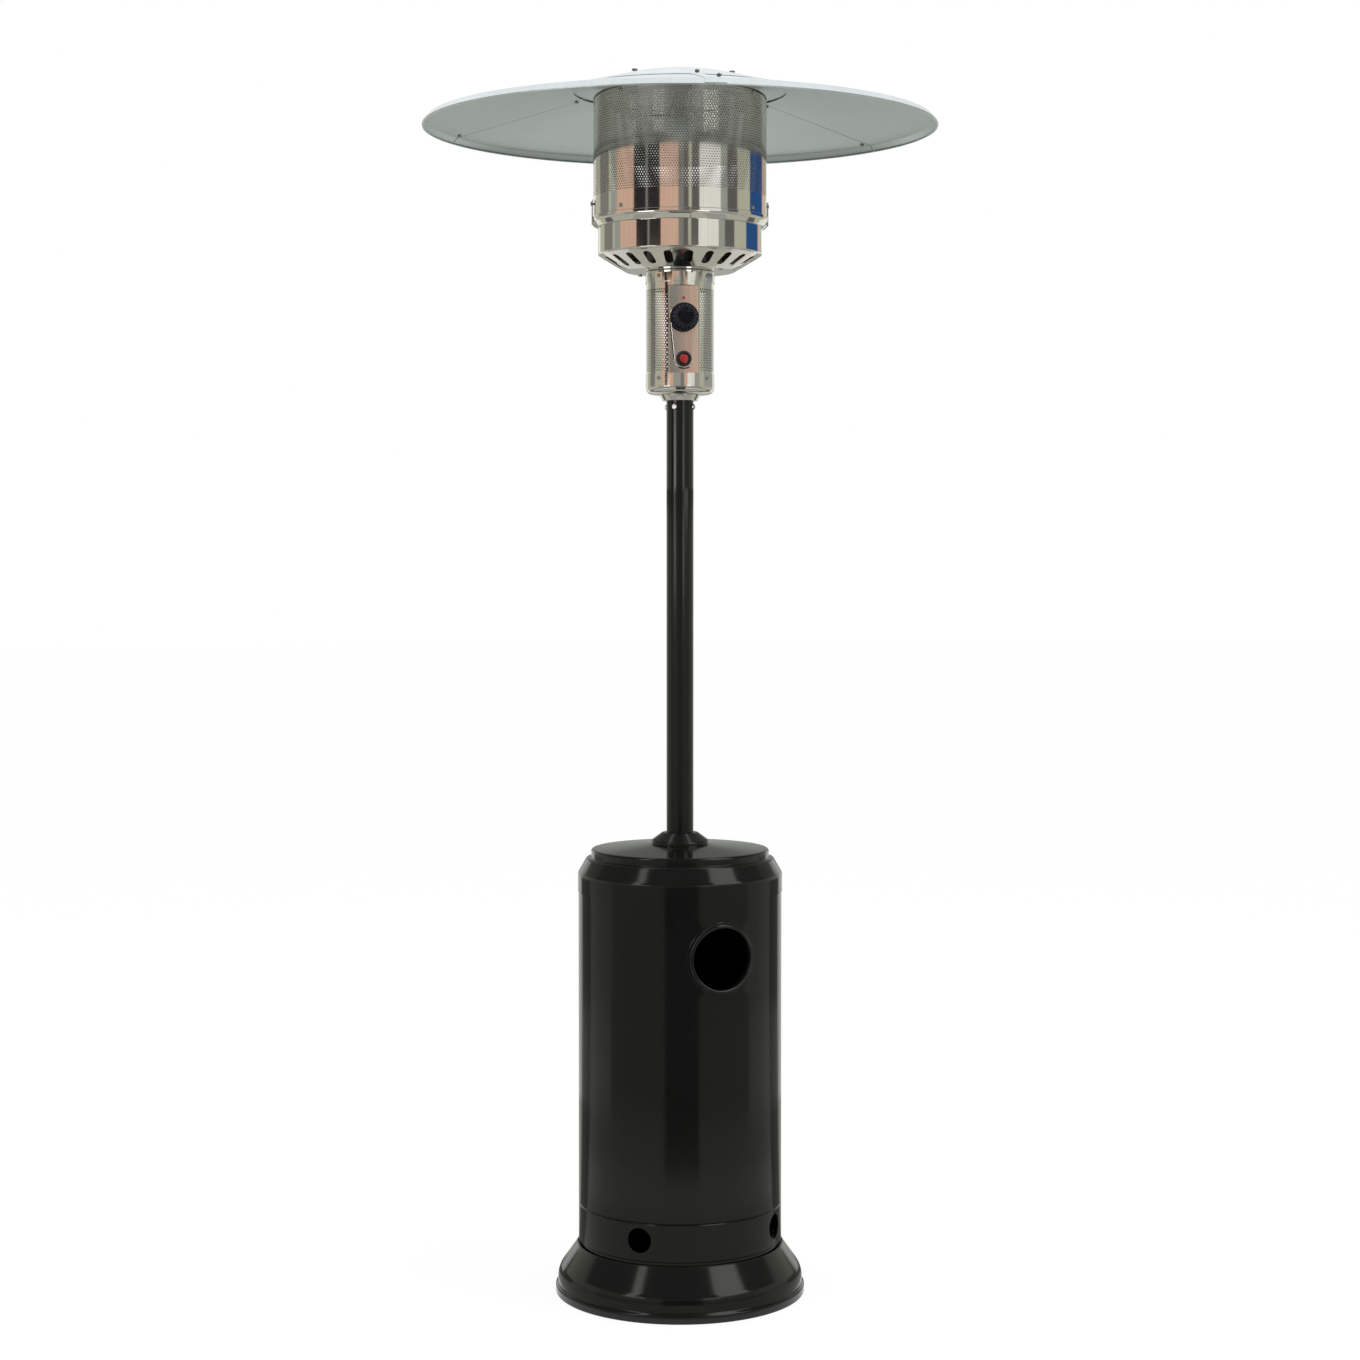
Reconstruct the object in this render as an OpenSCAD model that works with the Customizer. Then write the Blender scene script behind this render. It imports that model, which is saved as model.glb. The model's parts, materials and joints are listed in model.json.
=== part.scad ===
// Free-standing gas patio heater: a round base with a lift-up bottle housing, a slim pole,
// a control head, a slotted burner bowl, a perforated emitter and a three-panel reflector.
// Millimetres, +Z up, origin on the floor under the pole, control panel facing -Y.
// Turns are degrees from the front, seen from above, growing towards +X.

/* [Base] */
// Diameter of the foot rim
foot_d = 448; // [430:1:480]
// Height of the foot rim
foot_h = 14; // [10:1:18]
// Width of the turned-in foot that stands on the floor
foot_lip = 24; // [12:1:40]
// Step inwards from the foot rim to the upright band
foot_step = 4.5; // [3:0.5:8]
// Height of the top of the upright band
band_h = 40; // [32:1:50]
// Height of the skirt's top edge
skirt_h = 90; // [80:1:110]
// Depth of the groove between the skirt's edge and the vent ring
ledge_drop = 8; // [5:1:12]
// Width of the groove round the vent ring
groove_w = 1.5; // [1:0.5:4]
// Width of the ledge that carries the vent ring
ledge_w = 13; // [11.5:0.5:15]
// Height of the vent ring, from its ledge to the housing's seat
ring_h = 80; // [74:1:100]
// Width of the vent ring's turned-in foot
ring_foot = 10; // [8:0.5:11]
// Height of the lip that centres the housing
lip_h = 20; // [10:1:30]
// Diameter of the four vent holes
vent_d = 44; // [20:1:48]
// Height of the vent holes' centres above the ledge
vent_up = 50; // [40:1:52]
// Turn of the vent holes from the diagonals
vent_turn = 15; // [-45:1:45]
// Thickness of the bottle tray
tray_t = 4; // [2:0.5:6]
// Thickness of the black steel sheet
sheet_t = 1.2; // [0.8:0.1:1.5]

/* [Housing] */
// Outer diameter of the housing
housing_d = 365; // [355:1:375]
// Height of the housing's shell
housing_h = 591; // [540:1:660]
// Thickness of the housing's shell
housing_t = 1; // [0.7:0.1:1.4]
// Diameter of the clear hand hole
hand_hole_d = 108; // [80:1:120]
// Width of the trim round the hand hole
trim_w = 11; // [8:0.5:14]
// Depth of the hand hole's centre below the top of the shell
hand_hole_down = 130; // [116:1:386]
// Turn of the hand hole
hand_hole_turn = 17.4; // [0:0.1:90]
// Height of the lid's skirt round the shell
lid_skirt_h = 32; // [15:1:45]
// Height of the lid's shoulder
shoulder_h = 28; // [20:1:34]
// Width of the lid's shoulder
shoulder_w = 16; // [12:1:20]
// Width of the step round the lid's raised disc
lid_step = 8; // [6:1:12]
// Height of the raised disc's edge
disc_h = 15; // [12:1:20]
// Rise of the raised disc towards the pole
lid_rise = 12; // [6:1:16]
// Diameter of the collar round the pole
collar_d = 104; // [84:1:120]
// Height of the collar above the lid's hole
collar_h = 18; // [14:1:26]

/* [Frame] */
// Gap between the support legs and the outside of the housing
leg_gap = 15.5; // [14.5:0.5:21.5]
// Width of a support leg
leg_w = 30; // [24:1:36]
// Thickness of a support leg
leg_t = 5; // [3:0.5:5.5]
// Turn of the two side legs from the front
leg_turn = 80; // [75:1:85]
// Height of the legs' slope in to the pole
leg_slope_h = 90; // [70:1:120]
// Diameter of the flange under the pole
flange_d = 116; // [108:1:130]
// Thickness of the flange
flange_t = 6; // [4:0.5:8]
// Height of the socket round the pole's foot
socket_h = 34; // [26:1:36]
// Outer diameter of the pole
pole_d = 48.5; // [44:0.5:52]
// Wall of the pole
pole_t = 2; // [1.5:0.1:2.5]
// Length of the pole
pole_len = 850; // [700:1:950]

/* [Control head] */
// Diameter of the neck where it meets the pole
neck_low_d = 62; // [58:1:66]
// Diameter of the neck under the cup
neck_top_d = 74; // [70:1:80]
// Height of the neck
neck_h = 11; // [9:1:16]
// Length of the spigot inside the pole
spigot_l = 60; // [40:1:80]
// Diameter of the gas hose's way through the neck
hose_way_d = 32; // [26:1:34]
// Outer diameter of the control sleeve
sleeve_d = 120; // [114:1:126]
// Height of the cup
cup_h = 36; // [32:1:44]
// Height of the sleeve between the cup and the collar
sleeve_h = 162; // [154:1:180]
// Height of the top collar
top_collar_h = 21; // [17:1:28]
// Thickness of the stainless sheet
head_t = 1; // [0.8:0.1:1.2]
// Width of the control panel
panel_w = 55; // [53:1:60]
// Height of the control panel
panel_h = 162; // [158:1:166]
// Height of the knob's axis above the panel's lower edge
knob_up = 105; // [102:1:112]
// Height of the igniter's axis above the panel's lower edge
igniter_up = 32; // [28:1:34]
// Height that the panel's boss stands out
boss_h = 2; // [1:0.5:3]
// Diameter of the knob
knob_d = 51; // [46:1:54]
// Depth of the knob
knob_l = 24; // [18:1:30]
// Travel of the knob when it is pushed
knob_travel = 4; // [2:0.5:5]
// Diameter of the igniter's bezel
bezel_d = 28; // [25:1:30]
// Diameter of the igniter's button
button_d = 15; // [12:0.5:16]
// Travel of the igniter's button
button_travel = 5; // [3:0.5:6]

/* [Burner] */
// Diameter of the bowl's flat bottom
bowl_low_d = 194; // [190:1:210]
// Diameter of the bowl's upright wall
bowl_d = 293; // [285:1:297]
// Height of the bowl's cone
cone_h = 30; // [24:1:40]
// Height of the bowl's upright wall
bowl_wall_h = 55; // [40:1:70]
// Number of air slots round the cone
slot_count = 22; // [12:1:26]
// Width of an air slot
slot_w = 15; // [10:1:17]
// Diameter of the burner
burner_d = 170; // [150:1:172]
// Outer diameter of the mixer tube
mixer_d = 36; // [30:1:38]

/* [Emitter and reflector] */
// Outer diameter of the emitter
emitter_d = 309; // [305:1:312]
// Height of the emitter
emitter_h = 227; // [190:1:260]
// Diameter of the reflector
reflector_d = 920; // [800:1:1000]
// Height of the sloping rim
rim_h = 11; // [8:0.5:14]
// Width of the sloping rim
rim_w = 10; // [8:0.5:14]
// Rise of the panels from the rim's fold to the opening
panel_rise = 52; // [36:1:64]
// Drop of the reflector's rim below the emitter's top
rim_drop = 56.5; // [44:0.5:62]
// Diameter of the opening that the centre disc covers
eye_d = 380; // [340:1:420]
// Rise of the centre disc
disc_rise = 40; // [25:1:50]
// Thickness of the aluminium sheet
reflector_t = 1; // [0.8:0.1:1.4]

/* [Hidden] */
$fn = 96;
fit_gap = 0.1;
run_gap = 0.05;
slide_gap = 0.75;
seat_gap = 0.2;
rest_gap = 0.3;
lip_gap = 0.5;
tray_gap = 0.4;
end_clear = 1;
over = 1;
cut_in = 10;
cut_out = 5;
weld = 0.1;
panel_count = 3;
seam_step = 360 / panel_count;
quarters = [45, 135, 225, 315];

// Screws and bolts
screw_r = 2;
screw_head_r = 3.6;
screw_head_h = 2.2;
screw_hole_r = screw_r + fit_gap;
screw_l = 6;
screw_tail = 2;
bolt_r = 4;
bolt_hole_r = bolt_r + fit_gap;
bolt_hex_r = 7.5;
bolt_head_h = 5;
bolt_tail = 4;

// Base, from the floor up
foot_r = foot_d / 2;
skirt_r = foot_r - foot_step;
housing_r = housing_d / 2;
groove_r = housing_r + groove_w;
ledge_z = skirt_h - ledge_drop;
ledge_r = groove_r - ledge_w;
seat_z = ledge_z + ring_h;
lip_r = housing_r - housing_t - lip_gap;
tray_top = sheet_t + tray_t;
tray_r = skirt_r - sheet_t - tray_gap;
ring_screw_r = housing_r - sheet_t - (ring_foot - sheet_t) / 2;
ring_screw_turns = [15, 105, 195, 285];
vent_in_r = lip_r - cut_in;
vent_turns = [for (q = quarters) q + vent_turn];

// Housing and lid
house_z = seat_z + rest_gap;
shell_top = house_z + housing_h;
hand_z = house_z + housing_h - hand_hole_down;
hand_r = hand_hole_d / 2;
trim_depth = 9;
lid_r = housing_r + fit_gap + sheet_t;
knee_z = shell_top + sheet_t;
shoulder_r = lid_r - shoulder_w;
shoulder_z = knee_z + shoulder_h;
disc_r = shoulder_r - lid_step;
disc_z = shoulder_z + disc_h;
pole_r = pole_d / 2;
lid_hole_w = 4;
lid_hole_r = pole_r + lid_hole_w;
lid_top = disc_z + lid_rise;
lid_fall = lid_rise / (disc_r - lid_hole_r);
collar_r = collar_d / 2;
collar_in_r = pole_r + slide_gap;
collar_top = lid_top + collar_h;
collar_edge_h = 5;
collar_top_w = 7;

// Support legs, flange and pole
leg_r = housing_r - leg_gap - leg_t;
leg_turns = [-leg_turn, leg_turn, 180];
leg_foot_l = 36;
leg_foot_r = leg_r + leg_t + leg_foot_l;
leg_bolt_out = 20;
leg_bolt_r = leg_r + leg_t + leg_bolt_out;
leg_bolt_floor = 0.5;
leg_bolt_side = 8;
flange_drop = 53;
flange_z = disc_z - flange_drop;
tab_z = flange_z - leg_t;
tab_inset = 2;
tab_r = flange_d / 2 - tab_inset;
tab_in_r = 30;
flange_bolt_r = 46;
pole_z = flange_z + flange_t;
pole_in_r = pole_r - pole_t;
pole_seat_w = 2;
pole_top = pole_z + pole_len;
socket_t = 4;
set_screw_r = 3;
set_screw_hex_r = 5;
set_screw_up = 21;
set_screw_z = pole_z + set_screw_up;
set_screw_x = pole_r + fit_gap + socket_t + seat_gap;
set_screw_h = 3.7;
pole_bolt_drop = 11;
pole_bolt_r = 3;
pole_bolt_hex_r = 5;
pole_bolt_head = 3.4;
pole_bolt_z = pole_top - pole_bolt_drop;
pole_bolt_turns = [-29, 61, 151, 241];
socket_screw_turns = [0, 120, 240];

// Control head
hose_way_r = hose_way_d / 2;
neck_screw_in = 5;
neck_screw_r = neck_low_d / 2 - neck_screw_in;
neck_hole_floor = 2;
cup_z = pole_top + neck_h;
cup_floor = cup_z + head_t;
cup_top = cup_z + cup_h;
sleeve_r = sleeve_d / 2;
cup_r = sleeve_r + fit_gap + head_t;
cup_round = 12;
sleeve_z = cup_z + cup_round + head_t;
collar_z = cup_top + sleeve_h;
head_top = collar_z + top_collar_h;
top_collar_t = 1.5;
top_collar_r = sleeve_r + fit_gap + top_collar_t;
collar_round = 3;
sleeve_top = head_top - collar_round;
cup_screw_drop = 8;
cup_screw_z = cup_top - cup_screw_drop;
collar_screw_z = collar_z + top_collar_h / 2;
panel_t = 1.2;
panel_tuck = 7;
panel_z = cup_top - panel_tuck;
panel_x = sqrt(sleeve_r * sleeve_r - panel_w * panel_w / 4);
panel_back = panel_x - panel_t;
panel_flange = 12;
boss_x = panel_x + boss_h;
boss_edge = 2;
boss_r = panel_w / 2 - boss_edge;
boss_low_edge = 2.5;
boss_low_r = bezel_d / 2 + boss_low_edge;
knob_z = panel_z + knob_up;
igniter_z = panel_z + igniter_up;

// Gas valve, with its stem on the knob's axis
stem_r = 4;
valve_w = 36;
valve_hh = 24;
valve_back = -16;
valve_nose_l = 8;
valve_nose_r = 13;
valve_front = panel_back - valve_nose_l;
plug_r = 9;
plug_x = 8;
plug_cover = 4;
plug_front = valve_front - plug_cover;
plug_wall = 2;
tongue_w = 3;
tongue_h = 7.4;
tongue_l = 12;
stem_x = plug_x + plug_wall + knob_travel + end_clear;
knob_gap = knob_travel + end_clear;
knob_x = boss_x + knob_gap;
knob_front = knob_x + knob_l;
knob_crown = 8;
stem_end = knob_front - knob_crown;
stem_hole_r = stem_r + end_clear;
knob_hollow_r = 19;
knob_hollow_l = 8;
knob_skirt_l = 6;
knob_lip = 2.5;
knob_grip_r = knob_d / 2 - knob_lip;
flute_count = 18;
flute_r = 2.4;
valve_screw_side = 10;
valve_screw_r = 1.5;
valve_screw_l = 5;
valve_head_r = 3;
valve_head_h = 2;
valve_top = knob_z + valve_hh;
valve_low = knob_z - valve_hh;
inlet_x = -4;
inlet_nut_h = 12;
inlet_nut_r = 11;
inlet_l = 34;
inlet_r = 6.5;
inlet_bore_r = 4;

// Igniter
bezel_t = 4;
bezel_x = boss_x + bezel_t;
bezel_lip = 3;
barrel_r = bezel_d / 2 - bezel_lip;
barrel_l = 16;
barrel_back = panel_back - barrel_l;
button_r = button_d / 2;
button_proud = button_travel;
button_back = barrel_back + button_travel + end_clear;
igniter_back = 10;
igniter_r = barrel_r - 1;
igniter_nut_t = 5;
igniter_nut_w = 4;
igniter_nut_r = barrel_r + igniter_nut_w;
tilt_x = 20;
tilt_w = 24;
tilt_h = 30;

// Burner, bowl and clamp ring
bowl_z = head_top;
bowl_floor = bowl_z + head_t;
bowl_low_r = bowl_low_d / 2;
bowl_r = bowl_d / 2;
wall_z = bowl_z + cone_h;
clamp_z = wall_z + bowl_wall_h;
emitter_r = emitter_d / 2;
upstand_r = emitter_r - head_t - fit_gap;
upstand_h = 28;
clamp_w = 2.2;
clamp_r = emitter_r + clamp_w;
clamp_gap = 0.7;
clamp_h = 18;
clamp_chamfer = 6;
clamp_top = clamp_z - clamp_chamfer + clamp_h;
clamp_split = 1.2;
mixer_r = mixer_d / 2;
mixer_t = 1.5;
mixer_gap = 0.5;
mixer_hole_r = mixer_r + mixer_gap;
mixer_flange_w = 12;
mixer_flange_r = mixer_r + mixer_flange_w;
mixer_flange_t = 2;
injector_h = 22;
injector_r = 5;
injector_nut_h = 12;
injector_nut_r = 9;
jet_r = 1;
jet_floor = 2;
mixer_lap = 6;
mixer_z = valve_top + injector_h - mixer_lap;
burner_up = 12;
burner_z = clamp_z + burner_up;
burner_r = burner_d / 2;
burner_slope = 15;
burner_side = 15;
burner_top = burner_z + burner_slope + burner_side;
burner_crown = 4;
burner_sleeve = 12;
port_count = 36;
port_r = 1.5;
port_drop = 6;
stay_t = 2;
stay_w = 14;
stay_r = burner_r + seat_gap;
stay_drop = 10;
stay_inset = 2;
stay_foot_r = bowl_low_r - stay_inset;
stay_bolt_r = (stay_r + stay_t + stay_foot_r) / 2;
pilot_turn = 20;
pilot_r = 5;
pilot_bore_r = 3.5;
pilot_floor = 6;
pilot_up = 6;
pilot_top = burner_top + pilot_up;
pilot_out = 6;
pilot_x = stay_r + stay_t + pilot_out;
pilot_shelf_up = 4;
pilot_shelf_z = burner_z + pilot_shelf_up;
pilot_shelf_l = 16;
pilot_shelf_w = 34;
pilot_slit_w = 5;
pilot_slit_h = 10;
probe_side = 11;
probe_r = 2.5;
probe_low = 24;
probe_up = 12;
probe_collar_w = 1.5;
probe_collar_h = 4;
spark_r = 1.2;
sense_r = 1.8;
sense_drop = 2;
bowl_bolt_turns = concat(quarters, [pilot_turn]);

// Air slots, cut square to the cone
cone_run = bowl_r - bowl_low_r;
cone_tilt = atan2(cone_h, cone_run);
cone_slant = norm([cone_h, cone_run]);
slot_share = 0.62;
slot_l = cone_slant * slot_share;

// Emitter, its clips and cap
emitter_z = clamp_z;
emitter_top = emitter_z + emitter_h;
cap_t = 1;
cap_skirt = 12;
cap_r = emitter_r - head_t - fit_gap;
cap_round = 3;
emitter_screw_turns = [-49, 49, 131, 229];
emitter_screw_up = 20;
emitter_screw_z = emitter_z + emitter_screw_up;
cap_screw_drop = 6;
cap_screw_z = emitter_top - cap_screw_drop;
clip_turns = [-90, 90];
clip_w = 16;
clip_t = 1.5;
clip_gap = 0.3;
clip_up = 41;
clip_top = emitter_z + clip_up;
clip_screw_drop = 7;
clip_screw_z = clip_top - clip_screw_drop;
clip_screw_l = 9;

// Reflector
reflector_r = reflector_d / 2;
rim_z = emitter_top - rim_drop;
rim_in_r = reflector_r - reflector_t * rim_h / norm([rim_w, rim_h]);
fold_r = rim_in_r - rim_w;
fold_z = rim_z + rim_h;
eye_r = eye_d / 2;
lap_deg = 2.6;
lap_root = 0.8;
lap_top = 2 * reflector_t + seat_gap;
lap_mid = lap_top - reflector_t / 2;
seam_gap = 0.05;
lap_in = 3;
cover_w = 24;
cover_r = eye_r + cover_w;
inner_screw_r = eye_r + cover_w / 2;
outer_screw_in = 22;
outer_screw_r = reflector_r - outer_screw_in;
disc_steps = 8;
stud_ring_r = 100;
stud_r = 3;
stud_turns = [60, 180, 300];
stud_head_r = 6;
stud_head_h = 3;
spacer_r = 7;
spacer_top = disc_at(stud_ring_r + spacer_r) - seat_gap;
seam_nut_r = 4.6;
seam_nut_h = 3.5;
disc_nut_r = 5.8;
disc_nut_h = 3;
disc_nut_z = disc_at(stud_ring_r - disc_nut_r) + reflector_t + seat_gap;
stud_top = disc_nut_z + disc_nut_h;

black = "#232220";
steel = "#c9c7bf";
bright = "#dcdad4";
brass = "#c9a24a";
alu = "#a5aca3";
knob_black = "#20242c";
igniter_black = "#1c1c1e";
button_red = "#c01818";
copper = "#b8794e";

// Outlines: x is the radius and y the height

function unit(v) = v / norm(v);
function left_of(v) = [-v.y, v.x];
function on_axis(p) = p.x < 0.05 ? [0, p.y] : p;

// The corner at b between a and c, rounded to radius r
function corner(a, b, c, r, n = 5) =
    let (u = unit(a - b), v = unit(c - b), half = acos(u * v) / 2)
    let (o = b + unit(u + v) * r / sin(half), s = b + u * r / tan(half) - o, e = b + v * r / tan(half) - o)
    let (from = atan2(s.y, s.x), turn = (atan2(e.y, e.x) - from + 540) % 360 - 180)
    r == 0 ? [b] : [for (i = [0:n]) o + r * [cos(from + turn * i / n), sin(from + turn * i / n)]];

// A path with each inner corner rounded to its own radius
function rounded(path, radii) = [
    for (i = [0:len(path) - 1])
        each i == 0 || i == len(path) - 1 ? [path[i]]
            : corner(path[i - 1], path[i], path[i + 1], radii[i])
];

// The point of a path moved square to it, to its left, by t
function shifted(path, i, t) =
    let (a = unit(path[max(i, 1)] - path[max(i, 1) - 1]))
    let (b = unit(path[min(i, len(path) - 2) + 1] - path[min(i, len(path) - 2)]))
    let (m = unit(left_of(a) + left_of(b)))
    on_axis(path[i] + m * t / (m * left_of(a)));

// A band of sheet between two offsets from a path
function band(path, t0, t1) = concat(
    [for (i = [0:len(path) - 1]) shifted(path, i, t0)],
    [for (i = [len(path) - 1:-1:0]) shifted(path, i, t1)]
);
function sheet(path, t) = band(path, 0, t);

// Height of the lid's raised disc at a radius
function lid_at(r) = lid_top - (r - lid_hole_r) * lid_fall;
// Height of the underside of the reflector's panels at a radius
function dome_at(r) = fold_z + panel_rise * (fold_r - r) / (fold_r - eye_r);
// Height of the underside of the centre disc at a radius
function disc_at(r) =
    dome_at(max(r, eye_r)) + lap_top + seat_gap
    + disc_rise * (1 - pow(min(r, eye_r) / eye_r, 1.5));

// Placing: facing() brings +X round to a turn from the front

module facing(turn) rotate([0, 0, turn - 90]) children();
module turned(outline) rotate_extrude() polygon(outline);
module slab(outline, w) rotate([90, 0, 0]) linear_extrude(height = w, center = true) polygon(outline);
module bar_x(x0, x1, r) translate([x0, 0, 0]) rotate([0, 90, 0]) cylinder(h = x1 - x0, r = r);
module hex_x(x0, x1, r) translate([x0, 0, 0]) rotate([0, 90, 0]) cylinder(h = x1 - x0, r = r, $fn = 6);
module post(r, z0, z1) translate([0, 0, z0]) cylinder(h = z1 - z0, r = r);
module tube(r, in_r, z0, z1) turned([[in_r, z0], [r, z0], [r, z1], [in_r, z1]]);

// A row of radial holes at the same height
module radial_holes(turns, z, r, x0, x1)
    for (a = turns) facing(a) translate([0, 0, z]) bar_x(x0, x1, r);

// A pan-head screw that points at the axis, its head seated at radius x
module radial_screw(x, head_r, head_h, shank_r, shank_l) {
    bar_x(x, x + head_h, head_r);
    bar_x(x - shank_l, x + weld, shank_r);
}

module radial_screws(turns, z, x, l)
    for (a = turns) facing(a) translate([0, 0, z]) radial_screw(x, screw_head_r, screw_head_h, screw_r, l);

// An upright bolt, its head above the seat and its shank below
module down_bolt(seat, low) {
    translate([0, 0, seat]) cylinder(h = bolt_head_h, r = bolt_hex_r, $fn = 6);
    post(bolt_r, low, seat + weld);
}

// Base

module base_skirt() color(black) difference() {
    path = rounded([
        [foot_r - foot_lip, 0], [foot_r, 0], [foot_r, foot_h], [skirt_r, foot_h + foot_step],
        [skirt_r, band_h], [groove_r, skirt_h], [groove_r, ledge_z], [ledge_r, ledge_z]
    ], [0, 3, 3, 3, 10, 0, 0, 0]);
    turned(sheet(path, sheet_t));
    for (a = ring_screw_turns) facing(a) translate([ring_screw_r, 0, 0])
        post(screw_hole_r, ledge_z - cut_out, ledge_z + cut_out);
}

module base_ring() color(black) difference() {
    path = [
        [housing_r - ring_foot, ledge_z], [housing_r, ledge_z], [housing_r, seat_z],
        [lip_r, seat_z], [lip_r, seat_z + lip_h]
    ];
    turned(sheet(path, sheet_t));
    radial_holes(vent_turns, ledge_z + vent_up, vent_d / 2, vent_in_r, housing_r + cut_out);
    for (a = ring_screw_turns) facing(a) translate([ring_screw_r, 0, 0])
        post(screw_hole_r, ledge_z - cut_out, ledge_z + cut_out);
}

module ring_screws() color(steel)
    for (a = ring_screw_turns) facing(a) translate([ring_screw_r, 0, ledge_z + sheet_t]) {
        cylinder(h = screw_head_h, r = screw_head_r);
        post(screw_r, -3 * sheet_t, weld);
    }

module leg_bolt_places()
    for (a = leg_turns, s = [-1, 1]) facing(a) translate([leg_bolt_r, s * leg_bolt_side, 0]) children();

module bottle_tray() color(black) difference() {
    post(tray_r, sheet_t, tray_top);
    leg_bolt_places() post(bolt_hole_r, sheet_t - over, tray_top + over);
}

// Frame inside the housing

module support_leg(turn) color(black) difference() {
    path = rounded([
        [leg_foot_r, tray_top], [leg_r, tray_top], [leg_r, tab_z - leg_slope_h],
        [tab_r, tab_z], [tab_in_r, tab_z]
    ], [0, 9, 25, 12, 0]);
    facing(turn) slab(sheet(path, -leg_t), leg_w);
    leg_bolt_places() post(bolt_hole_r, tray_top - over, tray_top + leg_t + over);
    facing(turn) translate([flange_bolt_r, 0, 0]) post(bolt_hole_r, tab_z - over, flange_z + over);
}
module support_leg_left() support_leg(leg_turns[0]);
module support_leg_right() support_leg(leg_turns[1]);
module support_leg_rear() support_leg(leg_turns[2]);

module leg_bolts() color(steel) leg_bolt_places() down_bolt(tray_top + leg_t, sheet_t + leg_bolt_floor);

module pole_flange() color(black) difference() {
    union() {
        post(flange_d / 2, flange_z, pole_z);
        post(pole_r + fit_gap + socket_t, flange_z, pole_z + socket_h);
    }
    post(pole_r + fit_gap, pole_z, pole_z + socket_h + over);
    post(pole_in_r - pole_seat_w, flange_z - over, pole_z + over);
    for (a = leg_turns) facing(a) translate([flange_bolt_r, 0, 0])
        post(bolt_hole_r, flange_z - over, pole_z + over);
    radial_holes(socket_screw_turns, set_screw_z, set_screw_r + fit_gap, pole_in_r, set_screw_x + over);
}

module flange_bolts() color(steel)
    for (a = leg_turns) facing(a) translate([flange_bolt_r, 0, 0])
        down_bolt(pole_z, tab_z - bolt_head_h - bolt_tail);

module flange_nuts() color(steel)
    for (a = leg_turns) facing(a) translate([flange_bolt_r, 0, tab_z - bolt_head_h]) difference() {
        cylinder(h = bolt_head_h, r = bolt_hex_r, $fn = 6);
        post(bolt_hole_r, -over, bolt_head_h + over);
    }

module socket_screws() color(steel)
    for (a = socket_screw_turns) facing(a) translate([0, 0, set_screw_z]) {
        bar_x(pole_r + fit_gap, set_screw_x + weld, set_screw_r);
        hex_x(set_screw_x, set_screw_x + set_screw_h, set_screw_hex_r);
    }

module pole() color(black) difference() {
    tube(pole_r, pole_in_r, pole_z, pole_top);
    radial_holes(pole_bolt_turns, pole_bolt_z, pole_bolt_r + fit_gap, pole_in_r - cut_out, pole_r + cut_out);
}

// Housing that lifts off the base ring

module hand_hole_bar(r) facing(hand_hole_turn) translate([0, 0, hand_z]) bar_x(0, housing_r + cut_out, r);

module tank_housing() color(black) difference() {
    tube(housing_r, housing_r - housing_t, house_z, shell_top);
    hand_hole_bar(hand_r + trim_w / 2);
}

module hand_hole_trim() color(black) difference() {
    union() {
        intersection() {
            hand_hole_bar(hand_r + trim_w / 2 - fit_gap);
            tube(housing_r + sheet_t, housing_r - trim_depth, hand_z - hand_hole_d, hand_z + hand_hole_d);
        }
        intersection() {
            hand_hole_bar(hand_r + trim_w);
            tube(housing_r + sheet_t, housing_r + fit_gap, hand_z - hand_hole_d, hand_z + hand_hole_d);
        }
    }
    hand_hole_bar(hand_r);
}

module housing_lid() color(black) turned(sheet(rounded([
    [lid_r, knee_z - lid_skirt_h], [lid_r, knee_z], [shoulder_r, shoulder_z], [disc_r, shoulder_z],
    [disc_r, disc_z], [lid_hole_r, lid_top]
], [0, 8, 5, 2, 6, 0]), sheet_t));

module lid_collar() color(black) turned(rounded([
    [collar_in_r, lid_at(collar_in_r) + fit_gap], [collar_r, lid_at(collar_r) + fit_gap],
    [collar_r, lid_at(collar_r) + collar_edge_h], [pole_r + collar_top_w, collar_top], [collar_in_r, collar_top]
], [0, 0, 3, 3, 0]));

// Control head

module head_neck() color(bright) difference() {
    turned([
        [hose_way_r, pole_top - spigot_l], [pole_in_r - fit_gap, pole_top - spigot_l],
        [pole_in_r - fit_gap, pole_top], [neck_low_d / 2, pole_top], [neck_top_d / 2, cup_z],
        [hose_way_r, cup_z]
    ]);
    radial_holes(pole_bolt_turns, pole_bolt_z, pole_bolt_r + fit_gap, 0, pole_r + cut_out);
    for (a = quarters) facing(a) translate([neck_screw_r, 0, 0])
        post(screw_hole_r, pole_top + neck_hole_floor, cup_z + over);
}

module pole_bolts() color(steel)
    for (a = pole_bolt_turns) facing(a) translate([0, 0, pole_bolt_z]) {
        hex_x(pole_r + fit_gap, pole_r + fit_gap + pole_bolt_head, pole_bolt_hex_r);
        bar_x(hose_way_r + end_clear, pole_r + fit_gap + weld, pole_bolt_r);
    }

module head_cup() color(bright) difference() {
    path = rounded([
        [hose_way_r, cup_z], [cup_r, cup_z], [cup_r, cup_top]
    ], [0, cup_round, 0]);
    turned(sheet(path, head_t));
    radial_holes(quarters, cup_screw_z, screw_hole_r, sleeve_r - cut_in, cup_r + cut_out);
    for (a = quarters) facing(a) translate([neck_screw_r, 0, 0])
        post(screw_hole_r, cup_z - over, cup_floor + over);
}

module neck_screws() color(steel)
    for (a = quarters) facing(a) translate([neck_screw_r, 0, cup_floor]) {
        cylinder(h = screw_head_h, r = screw_head_r);
        post(screw_r, neck_hole_floor - neck_h, weld);
    }

module cup_screws() color(steel) radial_screws(quarters, cup_screw_z, cup_r + fit_gap, screw_l);

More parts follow.
